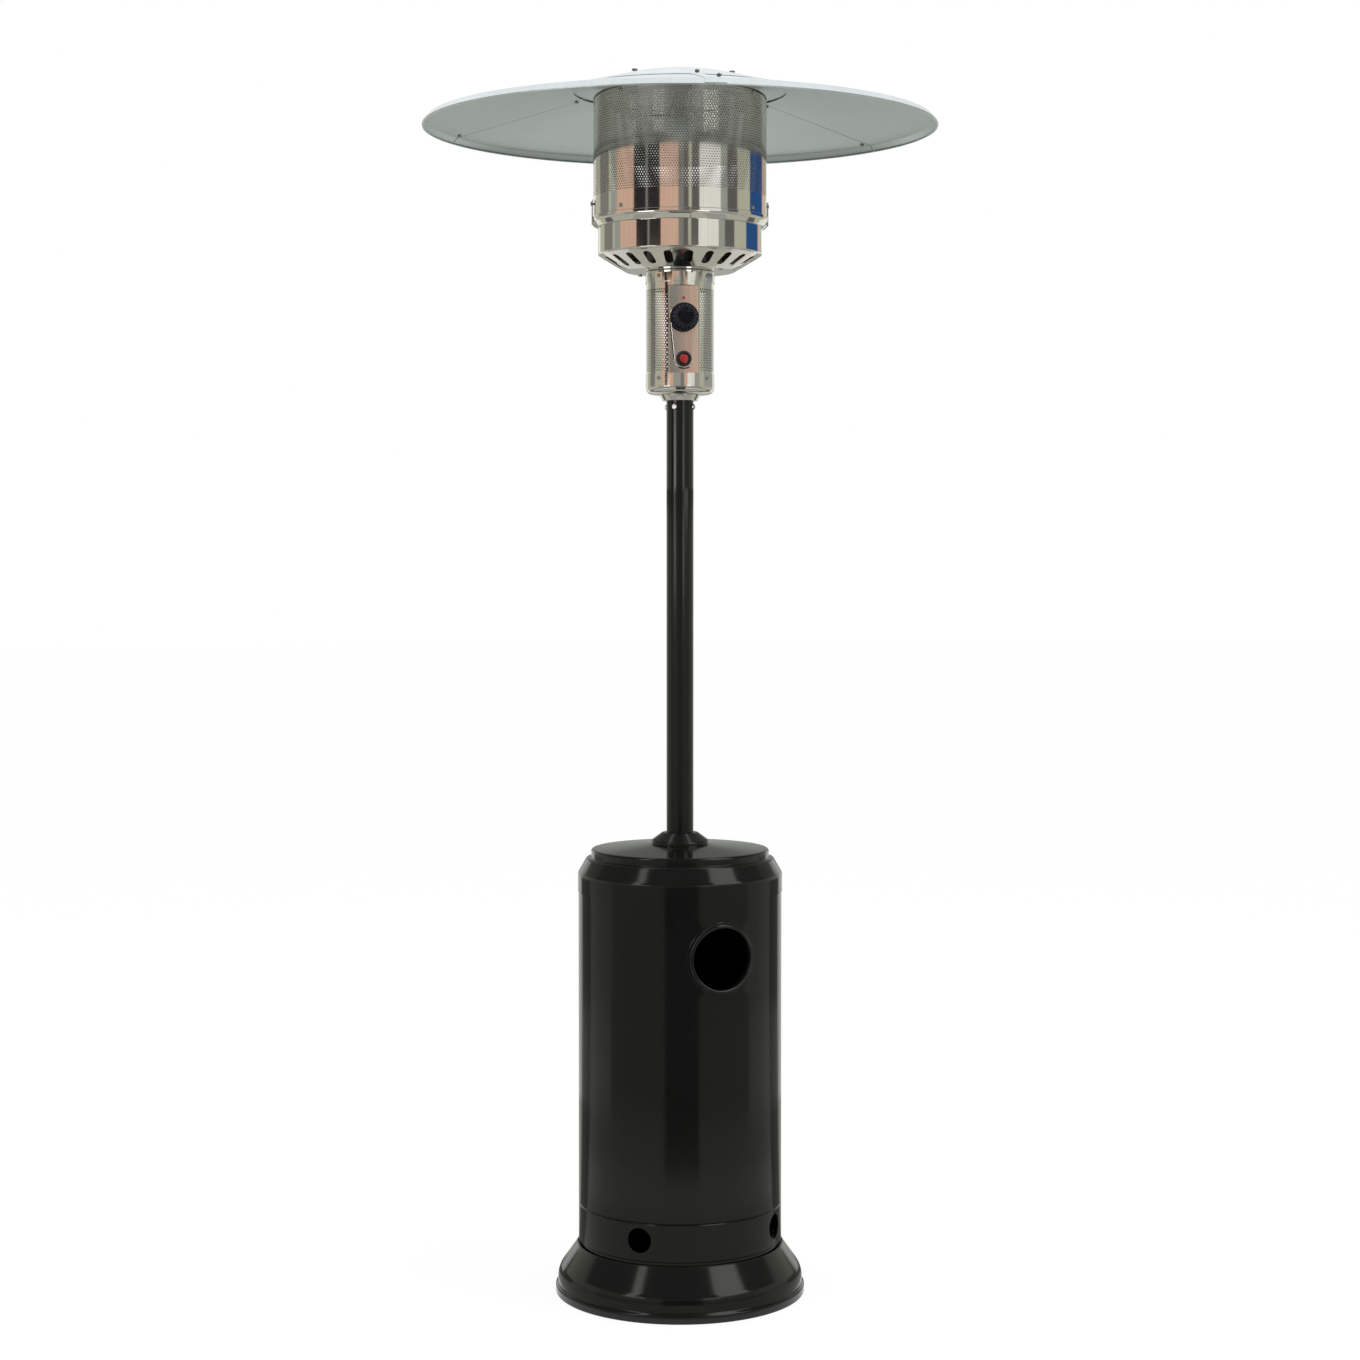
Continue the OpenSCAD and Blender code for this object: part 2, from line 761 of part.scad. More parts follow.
module control_sleeve() color(bright) difference() {
    tube(sleeve_r, sleeve_r - head_t, sleeve_z, sleeve_top);
    translate([0, -sleeve_r, panel_z + panel_h / 2])
        cube([panel_w + 2 * seat_gap, sleeve_r, panel_h + 2 * seat_gap], center = true);
    radial_holes(quarters, cup_screw_z, screw_hole_r, sleeve_r - cut_in, cup_r + cut_out);
    radial_holes(quarters, collar_screw_z, screw_hole_r, sleeve_r - cut_in, cup_r + cut_out);
}

// Pear-shaped outline round the knob and the igniter, in the panel's plane
module boss_outline() {
    gap = knob_up - igniter_up;
    lean = asin((boss_low_r - boss_r) / gap);
    side = [cos(lean), sin(lean)];
    other = [-side.x, side.y];
    knob = [0, knob_up];
    igniter = [0, igniter_up];
    translate(knob) circle(r = boss_r);
    translate(igniter) circle(r = boss_low_r);
    polygon([
        knob + boss_r * side, igniter + boss_low_r * side, igniter + boss_low_r * other, knob + boss_r * other
    ]);
}

module control_panel() color(bright) facing(0) translate([0, 0, panel_z]) difference() {
    union() {
        translate([panel_back, -panel_w / 2, 0]) cube([panel_t, panel_w, panel_h]);
        for (s = [-1, 1]) translate([panel_x - panel_flange, s * (panel_w - panel_t) / 2 - panel_t / 2, 0])
            cube([panel_flange, panel_t, panel_h]);
        translate([panel_back, 0, 0]) rotate([90, 0, 90]) linear_extrude(height = boss_h + panel_t)
            boss_outline();
    }
    translate([0, 0, knob_up]) bar_x(0, boss_x + over, stem_hole_r);
    translate([0, 0, igniter_up]) bar_x(0, boss_x + over, barrel_r + fit_gap);
    for (s = [-1, 1]) translate([0, s * valve_screw_side, knob_up])
        bar_x(0, boss_x + over, valve_screw_r + fit_gap);
}

module top_collar() color(bright) difference() {
    path = rounded([
        [top_collar_r, collar_z], [top_collar_r, head_top], [mixer_hole_r, head_top]
    ], [0, collar_round, 0]);
    turned(sheet(path, top_collar_t));
    radial_holes(quarters, collar_screw_z, screw_hole_r, sleeve_r - cut_in, top_collar_r + cut_out);
}

module collar_screws() color(steel) radial_screws(quarters, collar_screw_z, top_collar_r + fit_gap, screw_l);

// Gas valve and knob

module gas_valve() color(brass) facing(0) translate([0, 0, knob_z]) difference() {
    union() {
        translate([valve_back, -valve_w / 2, -valve_hh])
            cube([valve_front - valve_back, valve_w, 2 * valve_hh]);
        bar_x(valve_front - over, panel_back, valve_nose_r);
    }
    bar_x(plug_x, plug_front, plug_r);
    bar_x(plug_x, panel_back + over, stem_r + fit_gap);
    for (s = [-1, 1]) translate([0, s * valve_screw_side, 0])
        bar_x(panel_back - valve_screw_l - end_clear, panel_back + over, valve_screw_r + fit_gap);
}

module valve_screws() color(steel) facing(0) translate([0, 0, knob_z])
    for (s = [-1, 1]) translate([0, s * valve_screw_side, 0]) {
        bar_x(boss_x, boss_x + valve_head_h, valve_head_r);
        bar_x(panel_back - valve_screw_l, boss_x + weld, valve_screw_r);
    }

module gas_inlet() color(brass) facing(0) translate([inlet_x, 0, 0]) difference() {
    union() {
        translate([0, 0, valve_low - inlet_nut_h]) cylinder(h = inlet_nut_h, r = inlet_nut_r, $fn = 6);
        post(inlet_r, valve_low - inlet_l, valve_low);
    }
    post(inlet_bore_r, valve_low - inlet_l - over, valve_low + over);
}

module valve_plug() color(brass) facing(0) translate([0, 0, knob_z]) difference() {
    bar_x(plug_x + rest_gap, plug_front - rest_gap, plug_r - run_gap);
    bar_x(stem_x + tongue_l - knob_travel - end_clear, plug_front, stem_r + run_gap);
    translate([plug_x + plug_wall, -tongue_w / 2 - run_gap, -tongue_h / 2 - run_gap])
        cube([plug_front, tongue_w + 2 * run_gap, tongue_h + 2 * run_gap]);
}

module valve_stem() color(steel) facing(0) translate([0, 0, knob_z]) {
    bar_x(stem_x + tongue_l, stem_end, stem_r);
    translate([stem_x, -tongue_w / 2, -tongue_h / 2]) cube([tongue_l + over, tongue_w, tongue_h]);
}

module control_knob() color(knob_black) facing(0) translate([0, 0, knob_z]) difference() {
    union() {
        bar_x(knob_x, knob_x + knob_skirt_l, knob_d / 2);
        difference() {
            bar_x(knob_x, knob_front, knob_grip_r);
            for (k = [0:flute_count - 1]) rotate([k * 360 / flute_count, 0, 0])
                translate([0, 0, knob_grip_r + flute_r / 2])
                    bar_x(knob_x + knob_skirt_l, knob_front + over, flute_r);
        }
    }
    bar_x(knob_x - over, knob_x + knob_hollow_l, knob_hollow_r);
    bar_x(knob_x - over, stem_end + fit_gap, stem_r + run_gap);
}

// Igniter

module igniter_bezel() color(igniter_black) facing(0) translate([0, 0, igniter_z]) difference() {
    union() {
        bar_x(boss_x, bezel_x, bezel_d / 2);
        bar_x(barrel_back, boss_x + weld, barrel_r);
    }
    bar_x(barrel_back - over, bezel_x + over, button_r + fit_gap);
}

module igniter_nut() color(igniter_black) facing(0) translate([0, 0, igniter_z]) difference() {
    hex_x(panel_back - igniter_nut_t, panel_back, igniter_nut_r);
    bar_x(panel_back - igniter_nut_t - over, panel_back + over, barrel_r + fit_gap);
}

module igniter_button() color(button_red) facing(0) translate([0, 0, igniter_z])
    bar_x(button_back, bezel_x + button_proud, button_r);

module igniter_body() color(igniter_black) facing(0) translate([0, 0, igniter_z])
    bar_x(igniter_back, barrel_back, igniter_r);

module tilt_switch() color(igniter_black) facing(180)
    translate([tilt_x, -tilt_w / 2, cup_floor]) cube([tilt_w, tilt_w, tilt_h]);

// Burner

module injector() color(brass) difference() {
    union() {
        translate([0, 0, valve_top]) cylinder(h = injector_nut_h, r = injector_nut_r, $fn = 6);
        post(injector_r, valve_top, valve_top + injector_h);
    }
    post(jet_r, valve_top + jet_floor, valve_top + injector_h + over);
}

module mixer_tube() color(steel) {
    tube(mixer_r, mixer_r - mixer_t, mixer_z, burner_z - seat_gap);
    tube(mixer_flange_r, mixer_r - mixer_t / 2, bowl_floor, bowl_floor + mixer_flange_t);
}

module burner_head() color(steel) difference() {
    path = [
        [mixer_r + fit_gap + head_t, burner_z - burner_sleeve], [mixer_r + fit_gap + head_t, burner_z],
        [burner_r, burner_z + burner_slope], [burner_r, burner_top], [0, burner_top + burner_crown]
    ];
    turned(sheet(path, head_t));
    radial_holes([for (k = [0:port_count - 1]) (k + 0.5) * 360 / port_count],
        burner_top - port_drop, port_r, burner_r - cut_out, burner_r + cut_out);
}

// An upright strip on a foot, bolted to the bowl's floor beside the burner
module stay(turn, top) facing(turn) difference() {
    path = [[stay_foot_r, bowl_floor], [stay_r, bowl_floor], [stay_r, top]];
    slab(sheet(path, -stay_t), stay_w);
    translate([stay_bolt_r, 0, 0]) post(screw_hole_r, bowl_floor - over, bowl_floor + stay_t + over);
}

module burner_stays() color(steel) for (a = quarters) stay(a, burner_top - stay_drop);

// The pilot's own stay, with its hood and the two holes for the electrode and the thermocouple
module pilot_burner() color(steel) {
    stay(pilot_turn, pilot_shelf_z);
    facing(pilot_turn) difference() {
        translate([stay_r, -pilot_shelf_w / 2, pilot_shelf_z - weld])
            cube([pilot_shelf_l, pilot_shelf_w, stay_t + weld]);
        for (s = [-1, 1]) translate([pilot_x, s * probe_side, 0])
            post(probe_r + fit_gap, pilot_shelf_z - over, pilot_shelf_z + stay_t + over);
    }
    facing(pilot_turn) translate([pilot_x, 0, 0]) difference() {
        post(pilot_r, pilot_shelf_z, pilot_top);
        post(pilot_bore_r, pilot_shelf_z + pilot_floor, pilot_top + over);
        translate([-2 * pilot_r, -pilot_slit_w / 2, pilot_top - pilot_slit_h])
            cube([2 * pilot_r, pilot_slit_w, pilot_slit_h - pilot_floor]);
    }
}

// A rod through the pilot's shelf with a collar that rests on it
module probe(side, top, tip_r) facing(pilot_turn) translate([pilot_x, side, 0]) {
    seat = pilot_shelf_z + stay_t + seat_gap;
    post(probe_r, pilot_shelf_z - probe_low, seat + probe_up);
    post(probe_r + probe_collar_w, seat, seat + probe_collar_h);
    post(tip_r, seat, top);
}
module spark_electrode() color("white") probe(probe_side, pilot_top, spark_r);
module thermocouple() color(copper) probe(-probe_side, pilot_top - sense_drop, sense_r);

module burner_bowl() color(bright) difference() {
    path = rounded([
        [mixer_hole_r, bowl_z], [bowl_low_r, bowl_z], [bowl_r, wall_z], [bowl_r, clamp_z],
        [upstand_r, clamp_z], [upstand_r, clamp_z + upstand_h]
    ], [0, 4, 4, 0, 2, 0]);
    turned(sheet(path, head_t));
    for (k = [0:slot_count - 1]) facing(k * 360 / slot_count) air_slot();
    for (a = bowl_bolt_turns) facing(a) translate([stay_bolt_r, 0, 0])
        post(screw_hole_r, bowl_z - over, bowl_floor + over);
    radial_holes(emitter_screw_turns, emitter_screw_z, screw_hole_r, upstand_r - cut_in, emitter_r + cut_out);
}

// One round-ended slot, square to the middle of the cone
module air_slot() {
    run = slot_l / 2 - slot_w / 2;
    translate([(bowl_low_r + bowl_r) / 2, 0, (bowl_z + wall_z) / 2]) rotate([0, -cone_tilt, 0]) {
        for (s = [-1, 1]) translate([s * run, 0, 0]) cylinder(h = 2 * cut_out, r = slot_w / 2, center = true);
        cube([2 * run, slot_w, 2 * cut_out], center = true);
    }
}

module bowl_bolts() color(steel)
    for (a = bowl_bolt_turns) facing(a) translate([stay_bolt_r, 0, 0]) {
        post(screw_head_r, bowl_z - screw_head_h, bowl_z);
        post(screw_r, bowl_z - weld, bowl_floor + stay_t + bolt_tail);
    }

// Emitter

module clamp_ring() color(bright) difference() {
    low = clamp_z - clamp_chamfer;
    in_r = bowl_r + clamp_gap;
    turned([
        [in_r, low], [clamp_r - clamp_chamfer, low], [clamp_r, clamp_z], [clamp_r, clamp_top],
        [emitter_r + seat_gap, clamp_top], [emitter_r + seat_gap, clamp_z - fit_gap], [in_r, clamp_z - fit_gap]
    ]);
    facing(0) translate([bowl_r - over, -clamp_split / 2, low - over])
        cube([clamp_r - bowl_r + 2 * over, clamp_split, clamp_h + 2 * over]);
}

module emitter_clips() color(bright) difference() {
    drop = clamp_chamfer + over;
    path = [
        [clamp_r + clip_gap - drop, clamp_z - drop - clip_gap / 2],
        [clamp_r + clip_gap, clamp_z - clip_gap / 2],
        [clamp_r + clip_gap, clip_top]
    ];
    for (a = clip_turns) facing(a) slab(sheet(path, -clip_t), clip_w);
    radial_holes(clip_turns, clip_screw_z, screw_hole_r, emitter_r, clamp_r + cut_out);
}

module clip_screws() color(steel)
    radial_screws(clip_turns, clip_screw_z, clamp_r + clip_gap + clip_t, clip_screw_l);

module emitter_screen() color(steel) difference() {
    tube(emitter_r, emitter_r - head_t, emitter_z, emitter_top);
    radial_holes(emitter_screw_turns, emitter_screw_z, screw_hole_r, emitter_r - cut_in, emitter_r + cut_out);
    radial_holes(emitter_screw_turns, cap_screw_z, screw_hole_r, emitter_r - cut_in, emitter_r + cut_out);
    radial_holes(clip_turns, clip_screw_z, screw_hole_r, emitter_r - cut_in, emitter_r + cut_out);
}

module emitter_screws() color(steel) {
    radial_screws(emitter_screw_turns, emitter_screw_z, emitter_r + fit_gap, screw_l);
    radial_screws(emitter_screw_turns, cap_screw_z, emitter_r + fit_gap, screw_l);
}

module emitter_cap() color(steel) difference() {
    path = rounded([[cap_r, emitter_top - cap_skirt], [cap_r, emitter_top], [0, emitter_top]], [0, cap_round, 0]);
    turned(sheet(path, cap_t));
    radial_holes(emitter_screw_turns, cap_screw_z, screw_hole_r, emitter_r - cut_in, emitter_r + cut_out);
    for (a = stud_turns) facing(a) translate([stud_ring_r, 0, 0])
        post(stud_r + fit_gap, emitter_top - cut_out, emitter_top + cut_out);
}

// Reflector

module reflector_studs() color(steel)
    for (a = stud_turns) facing(a) translate([stud_ring_r, 0, 0]) {
        post(stud_head_r, emitter_top - cap_t - stud_head_h, emitter_top - cap_t);
        post(stud_r, emitter_top - cap_t - weld, stud_top);
    }

module stud_spacers() color(steel)
    for (a = stud_turns) facing(a) translate([stud_ring_r, 0, 0])
        tube(spacer_r, stud_r + fit_gap, emitter_top, spacer_top);

module disc_nuts() color(steel)
    for (a = stud_turns) facing(a) translate([stud_ring_r, 0, disc_nut_z]) difference() {
        cylinder(h = disc_nut_h, r = disc_nut_r, $fn = 6);
        post(stud_r + fit_gap, -over, disc_nut_h + over);
    }

module seam_places() for (k = [0:panel_count - 1]) facing(k * seam_step + lap_deg / 2) children();

module seam_holes(r) seam_places() {
    for (x = [inner_screw_r, outer_screw_r]) translate([x, 0, 0])
        post(r, dome_at(x) - cut_in, dome_at(x) + cut_in);
}

module reflector_disc() color(alu) difference() {
    radii = concat([cover_r], [for (i = [0:disc_steps]) eye_r * (1 - i / disc_steps)]);
    turned(sheet([for (r = radii) [r, disc_at(r)]], -reflector_t));
    seam_holes(screw_hole_r);
    for (a = stud_turns) facing(a) translate([stud_ring_r, 0, 0]) post(stud_r + fit_gap, spacer_top, stud_top);
}

// One panel from its own seam to the next, with the strip that laps over its neighbour
module reflector_panel(k) color(alu) difference() {
    path = [[eye_r, dome_at(eye_r)], [fold_r, fold_z], [rim_in_r, rim_z]];
    lap = [for (r = [eye_r, fold_r - lap_in]) [r, dome_at(r)]];
    joggle = [for (r = [eye_r + lap_in, fold_r - 2 * lap_in]) [r, dome_at(r)]];
    facing(k * seam_step) {
        rotate_extrude(angle = seam_step - seam_gap) polygon(sheet(path, reflector_t));
        rotate([0, 0, seam_step - lap_root])
            rotate_extrude(angle = lap_root + lap_deg) polygon(band(lap, lap_top - reflector_t, lap_top));
        rotate([0, 0, seam_step - lap_root + seam_gap])
            rotate_extrude(angle = lap_root - 3 * seam_gap) polygon(band(joggle, reflector_t / 2, lap_mid));
    }
    seam_holes(screw_hole_r);
}
module reflector_panel_right() reflector_panel(0);
module reflector_panel_rear() reflector_panel(1);
module reflector_panel_left() reflector_panel(2);

// Screws through the laps, heads below, each with its nut above
module seam_screws() color(steel) seam_places()
    for (r = [inner_screw_r, outer_screw_r]) translate([r, 0, 0]) {
        low = dome_at(r + screw_head_r) - seat_gap;
        nut = seam_nut_r;
        high = seat_gap + (r < cover_r ? disc_at(r - nut) + reflector_t : dome_at(r - nut) + lap_top);
        post(screw_head_r, low - screw_head_h, low);
        post(screw_r, low - weld, high + seam_nut_h + screw_tail);
        translate([0, 0, high]) difference() {
            cylinder(h = seam_nut_h, r = nut, $fn = 6);
            post(screw_hole_r, -over, seam_nut_h + over);
        }
    }

base_skirt();
base_ring();
ring_screws();
bottle_tray();
support_leg_left();
support_leg_right();
support_leg_rear();
leg_bolts();
pole_flange();
flange_bolts();
flange_nuts();
socket_screws();
pole();
tank_housing();
hand_hole_trim();
housing_lid();
lid_collar();
head_neck();
pole_bolts();
head_cup();
neck_screws();
cup_screws();
control_sleeve();
control_panel();
top_collar();
collar_screws();
gas_valve();
valve_screws();
gas_inlet();
valve_plug();
valve_stem();
control_knob();
igniter_bezel();
igniter_nut();
igniter_button();
igniter_body();
tilt_switch();
injector();
mixer_tube();
burner_head();
burner_stays();
pilot_burner();
spark_electrode();
thermocouple();
burner_bowl();
bowl_bolts();
clamp_ring();
emitter_clips();
clip_screws();
emitter_screen();
emitter_screws();
emitter_cap();
reflector_studs();
stud_spacers();
reflector_disc();
reflector_panel_left();
reflector_panel_right();
reflector_panel_rear();
seam_screws();
disc_nuts();
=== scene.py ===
"""Patio heater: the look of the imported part, modelled piece by piece on the CAD frame."""

import json
import logging
import math
from dataclasses import dataclass
from enum import Enum
from typing import Any, Iterable, Sequence

import bmesh
import bpy
from mathutils import Matrix, Vector


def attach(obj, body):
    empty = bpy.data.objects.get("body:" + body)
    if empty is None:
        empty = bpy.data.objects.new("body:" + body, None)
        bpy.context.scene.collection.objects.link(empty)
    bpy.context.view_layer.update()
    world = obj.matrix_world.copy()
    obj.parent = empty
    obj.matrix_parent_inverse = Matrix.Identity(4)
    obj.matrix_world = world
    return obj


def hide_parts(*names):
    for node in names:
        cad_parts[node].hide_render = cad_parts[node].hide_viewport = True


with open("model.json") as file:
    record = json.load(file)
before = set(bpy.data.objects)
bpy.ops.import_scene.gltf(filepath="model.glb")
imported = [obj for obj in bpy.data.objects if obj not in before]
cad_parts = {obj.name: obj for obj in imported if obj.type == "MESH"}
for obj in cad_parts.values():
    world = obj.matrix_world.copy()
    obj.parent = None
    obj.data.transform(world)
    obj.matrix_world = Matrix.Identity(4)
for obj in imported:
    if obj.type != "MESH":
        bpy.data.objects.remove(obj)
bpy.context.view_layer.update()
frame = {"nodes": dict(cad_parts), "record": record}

LOG = logging.getLogger("patio_heater")
SLOT_OF = {row["node"]: row["material_slot"] for row in frame["record"]["subparts"]}

MM = 0.001
STEPS = 128
MID_STEPS = 96
SMALL_STEPS = 64
SCREW_STEPS = 24
TINY = 0.01
SLACK = 1.0
SEAT = 0.1
FLAT = math.radians(0.5)
SMOOTH = math.radians(33.0)
NOISE_LOW, NOISE_HIGH = 0.3, 0.7
ROLLED_STRETCH, RADIAL_STRETCH = 0.012, 0.03
QUARTERS = (45.0, 135.0, 225.0, 315.0)

Colour = tuple[float, float, float]
Floats = tuple[float, ...]
Outline = tuple[Floats, ...]
Edge = tuple[float, float]
Node = bpy.types.Node
Socket = bpy.types.NodeSocket
Vert = bmesh.types.BMVert


class Body(Enum):
    """The CAD bodies that the pieces ride on."""

    FRAME = "frame"
    COVER = "tank_cover"
    KNOB = "knob"
    BUTTON = "igniter_button"


class Tone(Enum):
    """Colours of the studio cards, of which the shiny metal shows strips."""

    LAMP = (5.0, 5.0, 4.8)
    WINDOW = (2.4, 2.4, 2.3)
    SKY = (1.3, 1.3, 1.32)
    WHITE = (1.0, 1.0, 0.95)
    PALE = (0.58, 0.60, 0.48)
    PAPER = (0.56, 0.56, 0.49)
    LINEN = (0.80, 0.81, 0.76)
    GREY = (0.42, 0.44, 0.40)
    CLAY = (0.82, 0.55, 0.42)
    DIM = (0.27, 0.27, 0.25)
    DARK = (0.15, 0.145, 0.14)
    NIGHT = (0.03, 0.03, 0.03)
    BLUE = (0.03, 0.10, 0.30)


LAMP, WINDOW, SKY, WHITE, PALE, PAPER, LINEN, GREY, CLAY, DIM, DARK, NIGHT, BLUE = Tone
Tones = tuple[tuple[float, Tone], ...]


class Grain(Enum):
    """How a surface was made, which decides its fine texture."""

    SPRAYED = "sprayed"
    ROLLED = "rolled"
    RADIAL = "radial"
    CAST = "cast"
    MOULDED = "moulded"


def spot(turn: float, radius: float, height: float) -> Vector:
    """Gives a place from its turn in degrees from the front, its radius and its height."""
    angle = math.radians(turn)
    return Vector((radius * math.sin(angle), -radius * math.cos(angle), height))


def outward(turn: float, height: float, out: float = 0.0) -> Matrix:
    """Gives the placing that brings +Z to point away from the axis at a turn.

    Args:
        turn: Degrees round from the front.
        height: Height of the piece's own axis.
        out: Distance of the piece's zero from the heater's axis.

    Returns:
        A matrix that keeps +Y upright.
    """
    angle = math.radians(turn)
    right = Vector((math.cos(angle), math.sin(angle), 0.0))
    away = Vector((math.sin(angle), -math.cos(angle), 0.0))
    turned = Matrix((right, Vector((0.0, 0.0, 1.0)), away)).transposed().to_4x4()
    return Matrix.Translation(away * out + Vector((0.0, 0.0, height))) @ turned


def bend(verts: Iterable[Vert], radius: float, place: Matrix) -> None:
    """Moves flat vertices to a place on an upright round wall."""
    for vert in verts:
        depth = math.sqrt(radius ** 2 - vert.co.x ** 2) + vert.co.z
        vert.co = place @ Vector((vert.co.x, vert.co.y, depth))


def grown(result: dict[str, Any]) -> list[Vert]:
    """Picks the new vertices out of what an extrusion made."""
    return [g for g in result["geom"] if isinstance(g, Vert)]


def link(name: str, data: bpy.types.ID) -> bpy.types.Object:
    """Makes an object of some data and puts it in the scene."""
    obj = bpy.data.objects.new(name, data)
    bpy.context.scene.collection.objects.link(obj)
    return obj


class Shape:
    """A mesh under construction, in millimetres."""

    def __init__(self) -> None:
        """Starts with nothing in the mesh."""
        self.bm = bmesh.new()

    def weld(self) -> None:
        """Merges doubled vertices and points the faces outwards."""
        bmesh.ops.remove_doubles(self.bm, verts=self.bm.verts, dist=TINY)
        bmesh.ops.recalc_face_normals(self.bm, faces=self.bm.faces)

    def turn(
        self, path: Sequence[Floats], steps: int = STEPS, start: float = 0.0,
        sweep: float = 360.0, closed: bool = False,
    ) -> "Shape":
        """Spins an outline about the upright axis and rounds its corners.

        Args:
            path: Corners as (radius, height) or (radius, height, bevel), with the show side
                on the path's right.
            steps: Facets along the sweep.
            start: Turn of the first edge, in degrees from the front.
            sweep: Degrees that the outline is turned through.
            closed: Whether the outline closes on itself and makes a solid ring.

        Returns:
            This shape.
        """
        verts = [self.bm.verts.new(spot(start, r, z)) for r, z, *_ in path]
        pairs = list(zip(verts, verts[1:])) + ([(verts[-1], verts[0])] if closed else [])
        edges = [self.bm.edges.new(pair) for pair in pairs]
        full = sweep >= 360.0
        bmesh.ops.spin(
            self.bm, geom=verts + edges, cent=(0.0, 0.0, 0.0), axis=(0.0, 0.0, 1.0),
            angle=math.radians(sweep), steps=steps, use_merge=full,
        )
        if closed and not full:
            rims = [e for e in self.bm.edges if e.is_boundary]
            bmesh.ops.holes_fill(self.bm, edges=rims, sides=0)
        self.weld()
        if not closed:
            self.face_right(path, start + sweep / steps / 2)
        for r, z, *width in path:
            if width:
                self.round_loop(r, z, *width)
        return self

    def face_right(self, path: Sequence[Floats], turn: float) -> None:
        """Turns all faces over if the first ones don't look to the path's right.

        Args:
            path: The outline that was spun.
            turn: Turn of the middle of the first column of faces.
        """
        (r0, z0, *_), (r1, z1, *_) = path[:2]
        middle = spot(turn, (r0 + r1) / 2, (z0 + z1) / 2)
        right = spot(turn, z1 - z0, r0 - r1)
        near = min(self.bm.faces, key=lambda f: (f.calc_center_median() - middle).length_squared)
        near.normal_update()
        if near.normal.dot(right) < 0.0:
            bmesh.ops.reverse_faces(self.bm, faces=self.bm.faces)

    def top_face(self) -> bmesh.types.BMFace:
        """Finds the highest face, and of several the largest."""
        return max(self.bm.faces, key=lambda f: (f.calc_center_median().z, f.calc_area()))

    def round_loop(self, radius: float, height: float, width: float) -> None:
        """Bevels the circular edges at one radius and height, by a width."""
        ring = {
            v for v in self.bm.verts
            if abs(v.co.xy.length - radius) < TINY and abs(v.co.z - height) < TINY
        }
        self.round_edges([e for e in self.bm.edges if ring.issuperset(e.verts)], width, 4)

    def round_edges(self, edges: Iterable, width: float, segments: int = 3) -> None:
        """Bevels the edges that are given, by a width and in a number of facets."""
        bmesh.ops.bevel(
            self.bm, geom=list(edges), offset=width, offset_type="OFFSET", segments=segments,
            profile=0.5, affect="EDGES", material=-1, clamp_overlap=True,
        )

    def round_sharp(self, width: float, limit: float = 50.0) -> None:
        """Bevels each edge whose faces meet at more than a limit, in degrees."""
        edges = [e for e in self.bm.edges if e.is_manifold]
        sharp = [e for e in edges if e.calc_face_angle(0.0) > math.radians(limit)]
        self.round_edges(sharp, width, 2)

    def wall(self, thickness: float) -> "Shape":
        """Gives the sheet a thickness behind its show side."""
        bmesh.ops.solidify(self.bm, geom=self.bm.faces[:], thickness=thickness)
        return self

    def pierce(self, radius: float, turn: float, height: float, hole: float, reach: float) -> None:
        """Cuts a round hole through an upright turned wall.

        Args:
            radius: Radius of the wall.
            turn: Turn of the hole's centre.
            height: Height of the hole's centre.
            hole: Radius of the hole.
            reach: Half width of the square of faces that are rebuilt round it.
        """
        gone = []
        for face in self.bm.faces:
            centre = face.calc_center_median()
            angle = math.atan2(centre.x, -centre.y) - math.radians(turn)
            across = math.remainder(angle, math.tau) * radius
            on_wall = abs(centre.xy.length - radius) < SLACK
            if on_wall and abs(across) < reach and abs(centre.z - height) < reach:
                gone.append(face)
        edges = {e for f in gone for e in f.edges}
        bmesh.ops.delete(self.bm, geom=gone, context="FACES")
        rim = [e for e in edges if e.is_valid]
        ring = bmesh.ops.create_circle(self.bm, segments=len(rim), radius=hole)["verts"]
        bend(ring, radius, outward(turn, height))
        bmesh.ops.bridge_loops(self.bm, edges=[*rim, *{e for v in ring for e in v.link_edges}])

    def take(self, other: "Shape", place: Matrix) -> None:
        """Copies in the geometry of another shape, at a place."""
        loose = bpy.data.meshes.new("loose")
        other.bm.to_mesh(loose)
        loose.transform(place)
        self.bm.from_mesh(loose)
        bpy.data.meshes.remove(loose)

    def copies(self, *places: Matrix) -> "Shape":
        """Makes a shape that holds this one at each of the places."""
        many = Shape()
        for place in places:
            many.take(self, place)
        self.bm.free()
        return many

    def add(self, other: "Shape") -> "Shape":
        """Takes over the geometry of another shape."""
        self.take(other, Matrix())
        other.bm.free()
        return self

    def piece(self, name: str, *nodes: str, body: Body = Body.FRAME, slot: str = "") -> None:
        """Turns the shape into a finished piece of the heater, at the origin and in metres.

        Args:
            name: Name of the piece.
            nodes: CAD nodes that it stands for, none for a detail of its own.
            body: CAD body that it rides on.
            slot: Material slot, if it isn't that of the first node.
        """
        bmesh.ops.scale(self.bm, vec=(MM, MM, MM), verts=self.bm.verts)
        mesh = bpy.data.meshes.new(name)
        self.bm.to_mesh(mesh)
        self.bm.free()
        mesh.shade_smooth()
        mesh.set_sharp_from_angle(angle=SMOOTH)
        obj = link(name, mesh)
        obj.modifiers.new("even_faces", "WEIGHTED_NORMAL").keep_sharp = True
        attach(obj, body.value)
        if nodes:
            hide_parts(*nodes)
        slot = slot or SLOT_OF[nodes[0]]
        mesh.materials.append(FINISHES[slot].material())
        LOG.info("%s: %d faces in %s", name, len(mesh.polygons), slot)


